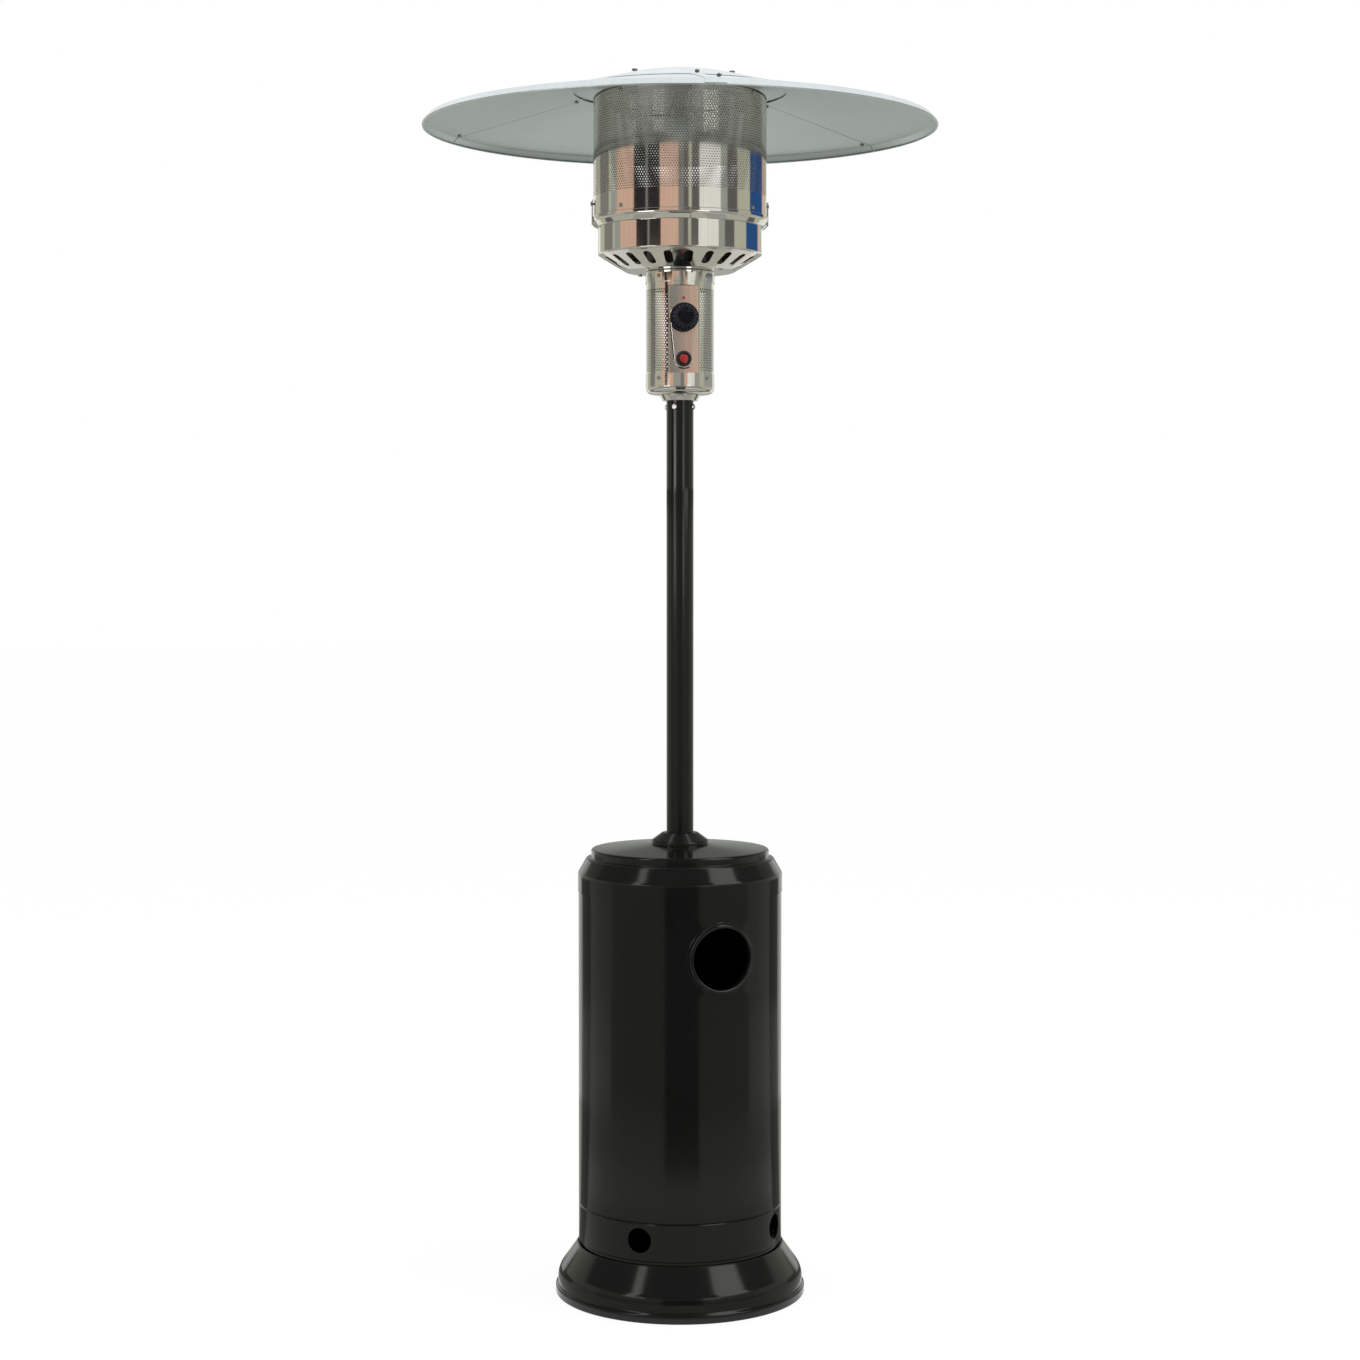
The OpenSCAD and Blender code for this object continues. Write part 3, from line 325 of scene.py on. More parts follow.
class Graph:
    """A node tree with short calls to add and join nodes."""

    def __init__(self, tree: bpy.types.NodeTree) -> None:
        """Empties the tree that is given."""
        self.tree = tree
        tree.nodes.clear()

    def node(self, kind: str, inputs: dict[Any, Any] | None = None, **settings: Any) -> Node:
        """Adds a node.

        Args:
            kind: Blender's name for the node, without the ShaderNode at its start.
            inputs: A value or an output socket for each named input.
            settings: Properties of the node itself.

        Returns:
            The new node.
        """
        made = self.tree.nodes.new("ShaderNode" + kind)
        for key, value in settings.items():
            setattr(made, key, value)
        for key, value in (inputs or {}).items():
            if isinstance(value, Socket):
                self.tree.links.new(value, made.inputs[key])
            else:
                made.inputs[key].default_value = value
        return made

    def sum(self, operation: str, first: Any, second: Any, kind: str = "Math") -> Socket:
        """Works out one value from two, or one vector where the kind is VectorMath."""
        return self.node(kind, {0: first, 1: second}, operation=operation).outputs[0]

    def spread(self, source: Socket, low: float, high: float) -> Socket:
        """Stretches a noise's middle range to run between two values."""
        ends = {"Value": source, 1: NOISE_LOW, 2: NOISE_HIGH, 3: low, 4: high}
        return self.node("MapRange", ends).outputs[0]

    def show(self, *shaders: Node, share: Any = 0.0) -> None:
        """Shows a shader as the surface, or a mix of two by the second one's share."""
        if len(shaders) == 2:
            both = {0: share, 1: shaders[0].outputs[0], 2: shaders[1].outputs[0]}
            shaders = (self.node("MixShader", both),)
        self.node("OutputMaterial", {"Surface": shaders[0].outputs[0]})


def new_material(name: str) -> tuple[bpy.types.Material, Graph]:
    """Makes a material with no nodes, and the graph to fill it."""
    made = bpy.data.materials.new(name)
    made.use_nodes = True
    return made, Graph(made.node_tree)


@dataclass(frozen=True)
class Finish:
    """A surface finish, built as a procedural material.

    Attributes:
        name: Name of the material.
        base: Main colour.
        drift: Colour that the main one drifts towards in patches.
        grain: How the surface was made.
        metallic: 1 for bare metal, 0 for the rest.
        roughness: Lowest and highest roughness.
        fine: Scale of the fine texture, per metre.
        bump: Depth of the fine texture, in millimetres.
        specular: Specular level of the surface.
        broad: Scale of the patches, per metre.
    """

    name: str
    base: Colour
    drift: Colour
    grain: Grain
    metallic: float
    roughness: tuple[float, float]
    fine: float
    bump: float
    specular: float = 0.5
    broad: float = 7.0

    def grain_place(self, graph: Graph, place: Socket) -> Socket:
        """Gives the coordinates that stretch the fine texture along the grain.

        Args:
            graph: The material's nodes.
            place: Object coordinates.

        Returns:
            Coordinates for the fine noise.
        """
        if self.grain is Grain.ROLLED:
            return graph.sum("MULTIPLY", place, (1.0, 1.0, ROLLED_STRETCH), "VectorMath")
        if self.grain is Grain.RADIAL:
            parts = graph.node("SeparateXYZ", {0: place}).outputs
            angle = graph.sum("ARCTAN2", parts[1], parts[0])
            flat = graph.sum("MULTIPLY", place, (1.0, 1.0, 0.0), "VectorMath")
            radius = graph.node("VectorMath", {0: flat}, operation="LENGTH").outputs[1]
            slow = graph.sum("MULTIPLY", radius, RADIAL_STRETCH)
            return graph.node("CombineXYZ", {0: angle, 1: slow}).outputs[0]
        return place

    def material(self) -> bpy.types.Material:
        """Builds the material, or gives the one that was built before."""
        if self.name in bpy.data.materials:
            return bpy.data.materials[self.name]
        made, graph = new_material(self.name)
        place = graph.node("TexCoord").outputs["Object"]
        along = {"Vector": self.grain_place(graph, place), "Scale": self.fine, "Detail": 3.0}
        fine = graph.node("TexNoise", along).outputs[0]
        patches = {"Vector": place, "Scale": self.broad, "Detail": 4.0}
        broad = graph.node("TexNoise", patches).outputs[0]
        half = graph.sum("MULTIPLY", graph.sum("ADD", fine, broad), 0.5)
        share = graph.spread(half, 0.0, 1.0)
        colours = {0: share, 6: (*self.base, 1.0), 7: (*self.drift, 1.0)}
        bump = {"Height": fine, "Distance": self.bump * MM, "Strength": 1.0}
        graph.show(graph.node("BsdfPrincipled", {
            "Base Color": graph.node("Mix", colours, data_type="RGBA").outputs[2],
            "Roughness": graph.spread(half, *self.roughness),
            "Metallic": self.metallic,
            "Specular IOR Level": self.specular,
            "Normal": graph.node("Bump", bump).outputs[0],
        }))
        return made


FINISHES = {
    "black_enamel": Finish(
        "black_enamel_paint", (0.010, 0.0096, 0.009), (0.014, 0.0135, 0.013), Grain.SPRAYED,
        0.0, (0.10, 0.16), 320.0, 0.006, specular=0.35,
    ),
    "polished_stainless": Finish(
        "polished_stainless_sheet", (0.68, 0.66, 0.62), (0.60, 0.58, 0.55), Grain.ROLLED,
        1.0, (0.05, 0.11), 420.0, 0.004,
    ),
    "plain_steel": Finish(
        "heat_dulled_steel", (0.26, 0.25, 0.24), (0.18, 0.17, 0.165), Grain.ROLLED,
        1.0, (0.40, 0.58), 380.0, 0.01,
    ),
    "satin_aluminium": Finish(
        "satin_aluminium_sheet", (0.60, 0.645, 0.65), (0.54, 0.58, 0.585), Grain.RADIAL,
        1.0, (0.34, 0.46), 90.0, 0.03,
    ),
    "zinc_fasteners": Finish(
        "zinc_plating", (0.44, 0.44, 0.43), (0.34, 0.34, 0.33), Grain.CAST,
        1.0, (0.20, 0.34), 700.0, 0.01,
    ),
    "brass": Finish(
        "cast_brass", (0.72, 0.50, 0.20), (0.58, 0.38, 0.14), Grain.CAST,
        1.0, (0.25, 0.42), 500.0, 0.02,
    ),
    "copper": Finish(
        "drawn_copper", (0.72, 0.36, 0.22), (0.52, 0.24, 0.15), Grain.ROLLED,
        1.0, (0.22, 0.38), 500.0, 0.01,
    ),
    "white_ceramic": Finish(
        "glazed_ceramic", (0.80, 0.78, 0.72), (0.72, 0.69, 0.62), Grain.CAST,
        0.0, (0.18, 0.34), 300.0, 0.01,
    ),
    "knob_plastic": Finish(
        "knob_moulding", (0.007, 0.009, 0.016), (0.012, 0.014, 0.024), Grain.MOULDED,
        0.0, (0.30, 0.42), 1600.0, 0.01, specular=0.25,
    ),
    "black_plastic": Finish(
        "black_moulding", (0.012, 0.012, 0.012), (0.020, 0.020, 0.020), Grain.MOULDED,
        0.0, (0.30, 0.44), 1500.0, 0.012,
    ),
    "red_plastic": Finish(
        "red_moulding", (0.66, 0.020, 0.022), (0.56, 0.016, 0.018), Grain.MOULDED,
        0.0, (0.28, 0.40), 1500.0, 0.01,
    ),
}


def pan_head(reach: float, radius: float = 3.6, height: float = 2.2, shank: float = 2.0) -> Shape:
    """Makes a pan-head screw with a cross recess, seated at zero and pointing to +Z.

    Args:
        reach: Length of the shank below the seat.
        radius: Radius of the head.
        height: Height of the head.
        shank: Radius of the shank.

    Returns:
        The screw's shape.
    """
    cross, floor = 0.5 * radius, 0.45 * height
    arm, waist = math.radians(20.0), 0.42
    path = (
        (0.0, floor), (0.6 * cross, floor), (cross, height), (0.7 * radius, height, 0.4),
        (radius, 0.55 * height, 0.3), (radius, 0.0), (shank, 0.0), (shank, -reach), (0.0, -reach),
    )
    screw = Shape().turn(path, SCREW_STEPS)
    for vert in screw.bm.verts:
        if vert.co.xy.length < cross + TINY and vert.co.z > 0.0:
            sector = abs(math.remainder(math.atan2(vert.co.y, vert.co.x), math.pi / 2))
            if sector > arm:
                vert.co.xy *= waist
    screw.weld()
    return screw


def pan_screws(
    name: str, node: str, turns: Floats, heights: Floats, out: float, reach: float = 6.0,
) -> None:
    """Makes one piece of pan-head screws, with one at each turn and height."""
    places = [outward(turn, height, out) for turn in turns for height in heights]
    pan_head(reach).copies(*places).piece(name, node)


def hex_head(across: float, height: float, reach: float) -> Shape:
    """Makes a chamfered hexagon head, seated at zero and pointing to +Z.

    Args:
        across: Radius of the hexagon over its corners.
        height: Height of the head.
        reach: Length of the shank below the seat.

    Returns:
        The bolt's shape.
    """
    bolt = Shape()
    bmesh.ops.create_cone(
        bolt.bm, cap_ends=True, segments=6, radius1=across, radius2=across, depth=height,
        matrix=Matrix.Translation((0.0, 0.0, height / 2)),
    )
    chamfer, corner = 0.5, 40.0
    bolt.round_sharp(chamfer, corner)
    shank, root = 0.55 * across, 0.5
    path = ((0.0, root), (shank, root), (shank, -reach, 0.3), (0.0, -reach))
    return bolt.add(Shape().turn(path, SCREW_STEPS))


@dataclass(frozen=True)
class Base:
    """The round base: a pressed skirt and the vented ring that the housing stands on."""

    skirt: Outline = (
        (200.0, 0.0), (224.0, 0.0, 3.0), (224.0, 14.0, 1.5), (219.5, 18.5, 1.5),
        (219.5, 40.0, 11.0), (184.0, 90.0, 0.8), (184.0, 82.0), (171.0, 82.0),
    )
    sheet: float = 1.2
    ring_r: float = 182.5
    ring_foot: Outline = ((172.5, 82.0), (180.5, 82.0), (180.5, 95.0))
    ring_rows: Floats = (97.0, *(104.0 + 7.0 * i for i in range(9)), 160.4)
    ring_lip: Outline = ((181.0, 162.0), (181.0, 182.0))
    ring_steps: int = 160
    vent_r: float = 22.0
    vent_z: float = 132.0
    vent_reach: float = 28.5
    vent_turns: Floats = (-30.0, 60.0, 150.0, 240.0)

    def build(self) -> None:
        """Makes the skirt and the ring."""
        Shape().turn(self.skirt).wall(self.sheet).piece("base_skirt_pressing", "base_skirt")
        rows = ((self.ring_r, z) for z in self.ring_rows)
        path = (*self.ring_foot, *rows, *self.ring_lip)
        ring = Shape().turn(path, self.ring_steps, self.vent_turns[0])
        for turn in self.vent_turns:
            ring.pierce(self.ring_r, turn, self.vent_z, self.vent_r, self.vent_reach)
        ring.wall(self.sheet).piece("base_ring_pressing", "base_ring")


@dataclass(frozen=True)
class TankCover:
    """The lift-up bottle housing with its trimmed hand hole, lid and sliding collar."""

    radius: float = 182.5
    edge: Outline = ((181.1, 162.3), (182.5, 163.9))
    bands: Floats = (362.3, 502.3)
    high: float = 753.3
    sheet: float = 1.0
    hole_turn: float = 17.4
    hole_z: float = 623.3
    hole_r: float = 59.5
    cells: int = 8
    cell_h: float = 9.0
    trim: Outline = (
        (54.0, -9.0), (54.0, 0.8), (54.5, 2.0), (55.7, 2.9), (57.2, 3.2), (58.7, 2.9), (59.9, 2.0),
        (60.6, 0.9), (64.4, 0.7), (65.0, 0.1), (59.3, 0.1), (59.3, -9.0),
    )
    lid: Outline = (
        (183.8, 722.5), (183.8, 754.5, 4.0), (167.8, 782.5, 3.0), (159.8, 782.5, 1.6),
        (159.8, 797.5, 4.0), (28.25, 809.5),
    )
    lid_sheet: float = 1.2
    collar: Outline = (
        (25.0, 809.9), (52.0, 807.4), (52.0, 812.3, 2.0), (31.25, 827.5, 2.0), (25.0, 827.5, 0.6),
    )

    def build(self) -> None:
        """Makes the housing, its trim bent to the wall, the lid and the collar."""
        reach = self.cells * math.tau * self.radius / STEPS + SLACK
        rows = (self.hole_z + self.cell_h * i for i in range(-self.cells, self.cells + 1))
        path = (*self.edge, *((self.radius, z) for z in (*self.bands, *rows, self.high)))
        housing = Shape().turn(path, start=self.hole_turn)
        housing.pierce(self.radius, self.hole_turn, self.hole_z, self.hole_r, reach)
        trim = Shape().turn(self.trim, MID_STEPS, closed=True)
        bend(trim.bm.verts, self.radius, outward(self.hole_turn, self.hole_z))
        lid = Shape().turn(self.lid).wall(self.lid_sheet)
        collar = Shape().turn(self.collar, MID_STEPS, closed=True)
        housing.wall(self.sheet).piece("housing_shell", "tank_housing", body=Body.COVER)
        trim.piece("hand_hole_bezel", "hand_hole_trim", body=Body.COVER)
        lid.piece("lid_pressing", "housing_lid", body=Body.COVER)
        collar.piece("lid_slide_collar", "lid_collar", body=Body.COVER)


@dataclass(frozen=True)
class Column:
    """The pole, its four bolts and the neck under the control head."""

    pole: Outline = ((24.25, 750.5), (24.25, 1600.5))
    sheet: float = 2.0
    bolt: Floats = (5.0, 3.4, 6.0)
    bolt_z: float = 1589.5
    bolt_turns: Floats = (-29.0, 61.0, 151.0, 241.0)
    neck: Outline = ((16.0, 1600.6), (31.0, 1600.6, 0.8), (37.0, 1611.4, 0.8), (16.0, 1611.4))
    spigot: Outline = ((16.0, 1569.0), (22.1, 1569.0), (22.1, 1600.6), (16.0, 1600.6))

    def build(self) -> None:
        """Makes the pole, the bolts and the neck."""
        Shape().turn(self.pole, MID_STEPS).wall(self.sheet).piece("pole_tube", "pole")
        out = self.pole[0][0] + SEAT
        places = [outward(turn, self.bolt_z, out) for turn in self.bolt_turns]
        hex_head(*self.bolt).copies(*places).piece("pole_hex_bolts", "pole_bolts")
        neck = Shape().turn(self.neck, MID_STEPS, closed=True)
        neck.add(Shape().turn(self.spigot, MID_STEPS, closed=True))
        neck.piece("neck_casting", "head_neck")


@dataclass(frozen=True)
class Perforation:
    """A turned sheet with a staggered pattern of small holes.

    Attributes:
        radius: Outer radius of the sheet.
        low: Lower edge of the sheet.
        first: Height at which the holes start.
        rows: Rows of holes.
        pitch: Distance between holes along a row.
        web: Metal between neighbouring holes.
        high: Upper edge of the sheet.
        sheet: Thickness of the sheet.
    """

    radius: float
    low: float
    first: float
    rows: int
    pitch: float
    web: float
    high: float
    sheet: float

    def shape(self, start: float, sweep: float) -> Shape:
        """Makes one arc of the sheet with hexagonal holes.

        Args:
            start: Turn of its first edge.
            sweep: Degrees that it covers.

        Returns:
            The pierced and thickened sheet.
        """
        rise = self.pitch * math.sqrt(3.0) / 2
        columns = 2 * round(math.radians(sweep) * self.radius / self.pitch)
        line = [(self.radius, self.first + rise * j) for j in range(self.rows + 1)]
        made = Shape().turn(line, columns, start, sweep)
        spots = {}
        for vert in made.bm.verts:
            angle = math.degrees(math.atan2(vert.co.x, -vert.co.y)) - start
            column = round((angle + 1.0) % 360.0 * columns / sweep - columns / sweep)
            spots[vert] = column, round((vert.co.z - self.first) / rise)
        gone = []
        for edge in made.bm.edges:
            (i, j), (k, m) = spots[edge.verts[0]], spots[edge.verts[1]]
            if i == k and 0 < i < columns and (i + min(j, m)) % 2 == 0:
                gone.append(edge)
        for vert, (i, j) in spots.items():
            if 0 < j < self.rows and 0 < i < columns:
                vert.co.z += rise / 6 if (i + j) % 2 else -rise / 6
        bmesh.ops.dissolve_edges(made.bm, edges=gone, use_verts=False)
        holes = [f for f in made.bm.faces if len(f.verts) == 6]
        web = self.web / 2
        bmesh.ops.inset_individual(made.bm, faces=holes, thickness=web, use_even_offset=True)
        bmesh.ops.delete(made.bm, geom=holes, context="FACES")
        last = self.first + rise * self.rows
        for old, new in ((self.first, self.low), (last, self.high)):
            rim = [e for e in made.bm.edges if all(abs(v.co.z - old) < TINY for v in e.verts)]
            for vert in grown(bmesh.ops.extrude_edge_only(made.bm, edges=rim)):
                vert.co.z = new
        made.weld()
        margin = ((self.radius, self.low), (self.radius, self.first))
        made.face_right(margin, start + sweep / columns / 2)
        return made.wall(self.sheet)


@dataclass(frozen=True)
class ControlHead:
    """The control head: cup, perforated sleeve, front panel, collar, knob and igniter."""

    cup: Outline = ((16.0, 1611.5), (61.1, 1611.5, 12.0), (61.1, 1624.3), (61.1, 1647.5))
    cup_sheet: float = 1.0
    cup_screw_z: float = 1639.5
    collar: Outline = ((61.6, 1809.5), (61.6, 1830.5, 2.0), (18.5, 1830.5))
    collar_sheet: float = 1.5
    collar_screw_z: float = 1820.0
    sleeve: Perforation = Perforation(60.0, 1624.5, 1651.0, 34, 5.0, 2.2, 1802.7, 1.0)
    slot_turn: float = 27.6
    sleeve_top: float = 1827.5
    panel_front: float = 53.33
    panel_w: float = 55.0
    panel_depth: float = 12.0
    panel_low: float = 1640.5
    panel_high: float = 1802.5
    panel_sheet: float = 1.2
    panel_bend: float = 2.4
    boss_out: float = 2.0
    boss_slope: float = 2.5
    boss_r: float = 26.0
    boss_low_r: float = 18.4
    boss_edge: float = 0.5
    knob_z: float = 1745.5
    knob_back: float = 60.33
    knob_skirt: Outline = (
        (19.0, 0.0), (25.5, 0.0, 0.8), (25.5, 6.0, 1.2), (21.0, 6.6), (4.0, 8.5), (4.0, 8.0),
        (19.0, 6.0),
    )
    grip_r: float = 23.0
    grip_h: float = 18.4
    grip_back: float = 5.6
    grip_taper: float = 0.82
    grip_edge: float = 1.6
    grip_rim: float = 3.0
    grip_dish: float = 0.8
    flutes: int = 18
    flute_depth: float = 0.09
    flute_power: float = 1.5
    igniter_z: float = 1672.5
    igniter_face: float = 55.33
    bezel: Outline = ((8.0, 0.1), (14.0, 0.1), (14.0, 3.2, 1.4), (10.5, 4.0, 0.5), (8.2, 2.6, 0.5))
    button: Outline = ((0.0, 9.0), (4.0, 8.7), (7.5, 7.4, 1.0), (7.5, -13.2, 0.3), (0.0, -13.2))
    dot: Outline = ((0.0, 0.5), (2.0, 0.45), (2.6, 0.0), (2.6, -0.3))
    dot_z: float = 1780.0
    dot_steps: int = 32
    tick_r: float = 28.4
    tick_size: Floats = (0.9, 3.0, 0.5)
    tick_edge: float = 0.12
    ticks: tuple[Edge, ...] = (
        (-42.0, 1.0), (-28.0, 1.0), (-14.0, 1.2), (0.0, 1.2), (14.0, 1.0), (28.0, 1.0), (42.0, 1.0),
    )

    def build(self) -> None:
        """Makes all the head's pieces."""
        Shape().turn(self.cup, MID_STEPS).wall(self.cup_sheet).piece("cup_pressing", "head_cup")
        collar = Shape().turn(self.collar, MID_STEPS).wall(self.collar_sheet)
        collar.piece("collar_pressing", "top_collar")
        tube = self.sleeve
        sleeve = tube.shape(self.slot_turn, 360.0 - 2 * self.slot_turn)
        band = ((tube.radius, tube.high), (tube.radius, self.sleeve_top))
        sleeve.add(Shape().turn(band).wall(tube.sheet))
        sleeve.piece("sleeve_perforated", "control_sleeve")
        self.make_panel()
        self.make_knob()
        self.make_igniter()
        self.make_marks()
        for name, height, wall in (
            ("cup", self.cup_screw_z, self.cup), ("collar", self.collar_screw_z, self.collar),
        ):
            out = wall[1][0] + SEAT
            pan_screws(f"{name}_pan_screws", f"{name}_screws", QUARTERS, (height,), out)

    def make_panel(self) -> None:
        """Makes the folded panel and the pear-shaped boss on it."""
        panel = Shape()
        half, front, back = self.panel_w / 2, self.panel_front, self.panel_front - self.panel_depth
        section = ((-half, back), (-half, front), (half, front), (half, back))
        verts = [panel.bm.verts.new((x, self.panel_low, out)) for x, out in section]
        edges = [panel.bm.edges.new(pair) for pair in zip(verts, verts[1:])]
        upper = grown(bmesh.ops.extrude_edge_only(panel.bm, edges=edges))
        rise = (0.0, self.panel_high - self.panel_low, 0.0)
        bmesh.ops.translate(panel.bm, verts=upper, vec=rise)
        panel.weld()
        if panel.top_face().normal.z < 0.0:
            bmesh.ops.reverse_faces(panel.bm, faces=panel.bm.faces)
        panel.round_edges((e for e in panel.bm.edges if e.is_manifold), self.panel_bend, 4)
        panel.wall(self.panel_sheet).add(self.make_boss())
        panel.copies(outward(0.0, 0.0)).piece("panel_pressing", "control_panel")

    def make_boss(self) -> Shape:
        """Makes the raised pear round the knob and the igniter, facing +Z.

        Returns:
            The boss, still to be turned upright.
        """
        boss = Shape()
        for height, radius in ((self.knob_z, self.boss_r), (self.igniter_z, self.boss_low_r)):
            middle = Matrix.Translation((0.0, height, self.panel_front + self.boss_out / 2))
            bmesh.ops.create_cone(
                boss.bm, cap_ends=False, segments=SMALL_STEPS, radius1=radius,
                radius2=radius - self.boss_slope, depth=self.boss_out, matrix=middle,
            )
        bmesh.ops.delete(boss.bm, geom=boss.bm.edges[:], context="EDGES_FACES")
        bmesh.ops.convex_hull(boss.bm, input=boss.bm.verts)
        loose = [v for v in boss.bm.verts if not v.link_faces]
        bmesh.ops.delete(boss.bm, geom=loose, context="VERTS")
        bmesh.ops.dissolve_limit(
            boss.bm, angle_limit=FLAT, verts=boss.bm.verts, edges=boss.bm.edges,
        )
        boss.weld()
        boss.round_edges(boss.top_face().edges, self.boss_edge)
        return boss

    def make_knob(self) -> None:
        """Makes the fluted knob, with a round skirt, a hollow back and a dished front."""
        knob, grip = Shape().turn(self.knob_skirt, MID_STEPS, closed=True), Shape()
        steps = 10 * self.flutes
        bmesh.ops.create_circle(grip.bm, cap_ends=True, segments=steps, radius=self.grip_r)
        for vert in grip.bm.verts:
            wave = 0.5 - 0.5 * math.cos(self.flutes * math.atan2(vert.co.y, vert.co.x))
            vert.co.xy *= 1.0 - self.flute_depth * wave ** self.flute_power
        front = grown(bmesh.ops.extrude_face_region(grip.bm, geom=grip.bm.faces[:]))
        bmesh.ops.translate(grip.bm, verts=front, vec=(0.0, 0.0, self.grip_h))
        bmesh.ops.scale(grip.bm, verts=front, vec=(self.grip_taper, self.grip_taper, 1.0))
        grip.weld()
        grip.round_edges(grip.top_face().edges, self.grip_edge)
        top = grip.top_face()
        rim = self.grip_rim
        bmesh.ops.inset_region(grip.bm, faces=[top], thickness=rim, use_even_offset=True)
        bmesh.ops.translate(grip.bm, verts=list(top.verts), vec=(0.0, 0.0, -self.grip_dish))
        knob.add(grip.copies(Matrix.Translation((0.0, 0.0, self.grip_back))))
        place = outward(0.0, self.knob_z, self.knob_back)
        knob.copies(place).piece("knob_moulded", "control_knob", body=Body.KNOB)

    def make_igniter(self) -> None:
        """Makes the igniter's bezel and its push button."""
        place = outward(0.0, self.igniter_z, self.igniter_face)
        bezel = Shape().turn(self.bezel, SMALL_STEPS, closed=True).copies(place)
        bezel.piece("igniter_bezel_ring", "igniter_bezel")
        button = Shape().turn(self.button, SMALL_STEPS)
        button.weld()
        button.copies(place).piece("igniter_push_button", "igniter_button", body=Body.BUTTON)

    def make_marks(self) -> None:
        """Makes the red dot over the knob and the short ticks under it."""
        dot = Shape().turn(self.dot, self.dot_steps)
        marks = dot.copies(outward(0.0, self.dot_z, self.panel_front))
        middle = outward(0.0, self.knob_z, self.panel_front + self.boss_out)
        down = Matrix.Translation((0.0, -self.tick_r, 0.0))
        width, length, height = self.tick_size
        for turn, size in self.ticks:
            tick = Shape()
            box = Matrix.Diagonal((width * size, length * size, height, 1.0))
            bmesh.ops.create_cube(tick.bm, size=1.0, matrix=box)
            tick.round_sharp(self.tick_edge)
            marks.add(tick.copies(middle @ Matrix.Rotation(math.radians(turn), 4, "Z") @ down))
        marks.piece("control_marks", slot="red_plastic")


@dataclass(frozen=True)
class Burner:
    """The burner's slotted bowl, clamp ring, perforated emitter and cap."""

    floor: Outline = ((18.5, 1830.5), (97.0, 1830.5))
    wall: Outline = ((146.5, 1860.5), (146.5, 1915.5, 1.0), (153.4, 1915.5), (153.4, 1943.5))
    sheet: float = 1.0
    bowl_bend: float = 2.0
    slots: int = 22
    columns: int = 6
    rows: int = 10
    slot_w: float = 15.0
    slot_l: float = 35.9
    clamp: Outline = (
        (147.0, 1909.2), (149.4, 1909.2, 1.0), (156.8, 1919.0, 3.0), (156.8, 1927.5, 1.2),
        (154.7, 1927.5, 0.3), (154.7, 1917.6), (147.0, 1911.4),
    )
    clamp_split: float = 0.44
    emitter: Perforation = Perforation(154.5, 1917.8, 1962.0, 41, 5.0, 2.3, 2142.5, 1.0)
    halves: tuple[tuple[str, float], ...] = (("front", -90.0), ("rear", 90.0))
    cap: Outline = ((153.4, 2130.5), (153.4, 2142.5, 2.0), (0.0, 2142.5))
    screw_turns: Floats = (-49.0, 49.0, 131.0, 229.0)
    screw_rows: Floats = (1935.5, 2136.5)
    clip_turns: Floats = (-90.0, 90.0)
    clip_rows: Floats = (1949.5,)
    clip_r: float = 158.5
    clip_reach: float = 9.0

    def build(self) -> None:
        """Makes the bowl, the clamp ring, the emitter, the cap and their screws."""
        self.make_bowl()
        split = self.clamp_split
        ring = Shape().turn(self.clamp, start=split / 2, sweep=360.0 - split, closed=True)
        ring.piece("clamp_band", "clamp_ring")
        for name, start in self.halves:
            self.emitter.shape(start, 180.0).piece(f"emitter_{name}_half", "emitter_screen")
        Shape().turn(self.cap).wall(self.sheet).piece("emitter_cap_pressing", "emitter_cap")
        pan_screws(
            "emitter_pan_screws", "emitter_screws", self.screw_turns, self.screw_rows,
            self.emitter.radius + SEAT,
        )
        pan_screws(
            "clip_pan_screws", "clip_screws", self.clip_turns, self.clip_rows, self.clip_r,
            self.clip_reach,
        )

    def make_bowl(self) -> None:
        """Makes the bowl, whose cone is a ring of sectors with a slot in each."""
        (low_r, low_z), (high_r, high_z) = self.floor[1], self.wall[0]
        out, up = high_r - low_r, high_z - low_z
        slant = math.hypot(out, up)
        step = math.tau / self.slots
        sector = Shape()
        bmesh.ops.create_grid(sector.bm, x_segments=self.columns, y_segments=self.rows, size=0.5)
        inner = [e for e in sector.bm.edges if not e.is_boundary]
        bmesh.ops.delete(sector.bm, geom=inner, context="EDGES")
        for vert in sector.bm.verts:
            vert.co = Vector((vert.co.x * step, (vert.co.y + 0.5) * slant, 0.0))
        rim = sector.bm.edges[:]
        slot_r = self.slot_w / 2
        ring = bmesh.ops.create_circle(sector.bm, segments=len(rim), radius=slot_r)["verts"]
        straight = self.slot_l / 2 - slot_r
        for vert in ring:
            shift = math.copysign(straight, vert.co.y) if abs(vert.co.y) > TINY else 0.0
            along = slant / 2 + vert.co.y + shift
            vert.co = Vector((vert.co.x / (low_r + out * along / slant), along, 0.0))
        edges = {e for v in ring for e in v.link_edges}
        bmesh.ops.bridge_loops(sector.bm, edges=[*rim, *edges])
        for vert in sector.bm.verts:
            share = vert.co.y / slant
            vert.co = spot(math.degrees(vert.co.x), low_r + out * share, low_z + up * share)
        bowl = sector.copies(*(Matrix.Rotation(step * i, 4, "Z") for i in range(self.slots)))
        steps = self.slots * self.columns
        first = -math.degrees(step) / 2
        for path in (self.floor, self.wall):
            bowl.add(Shape().turn(path, steps, first))
        bowl.weld()
        bowl.face_right(self.floor, first + 180.0 / steps)
        bowl.round_loop(low_r, low_z, self.bowl_bend)
        bowl.round_loop(high_r, high_z, self.bowl_bend)
        bowl.wall(self.sheet).piece("bowl_pressing", "burner_bowl")


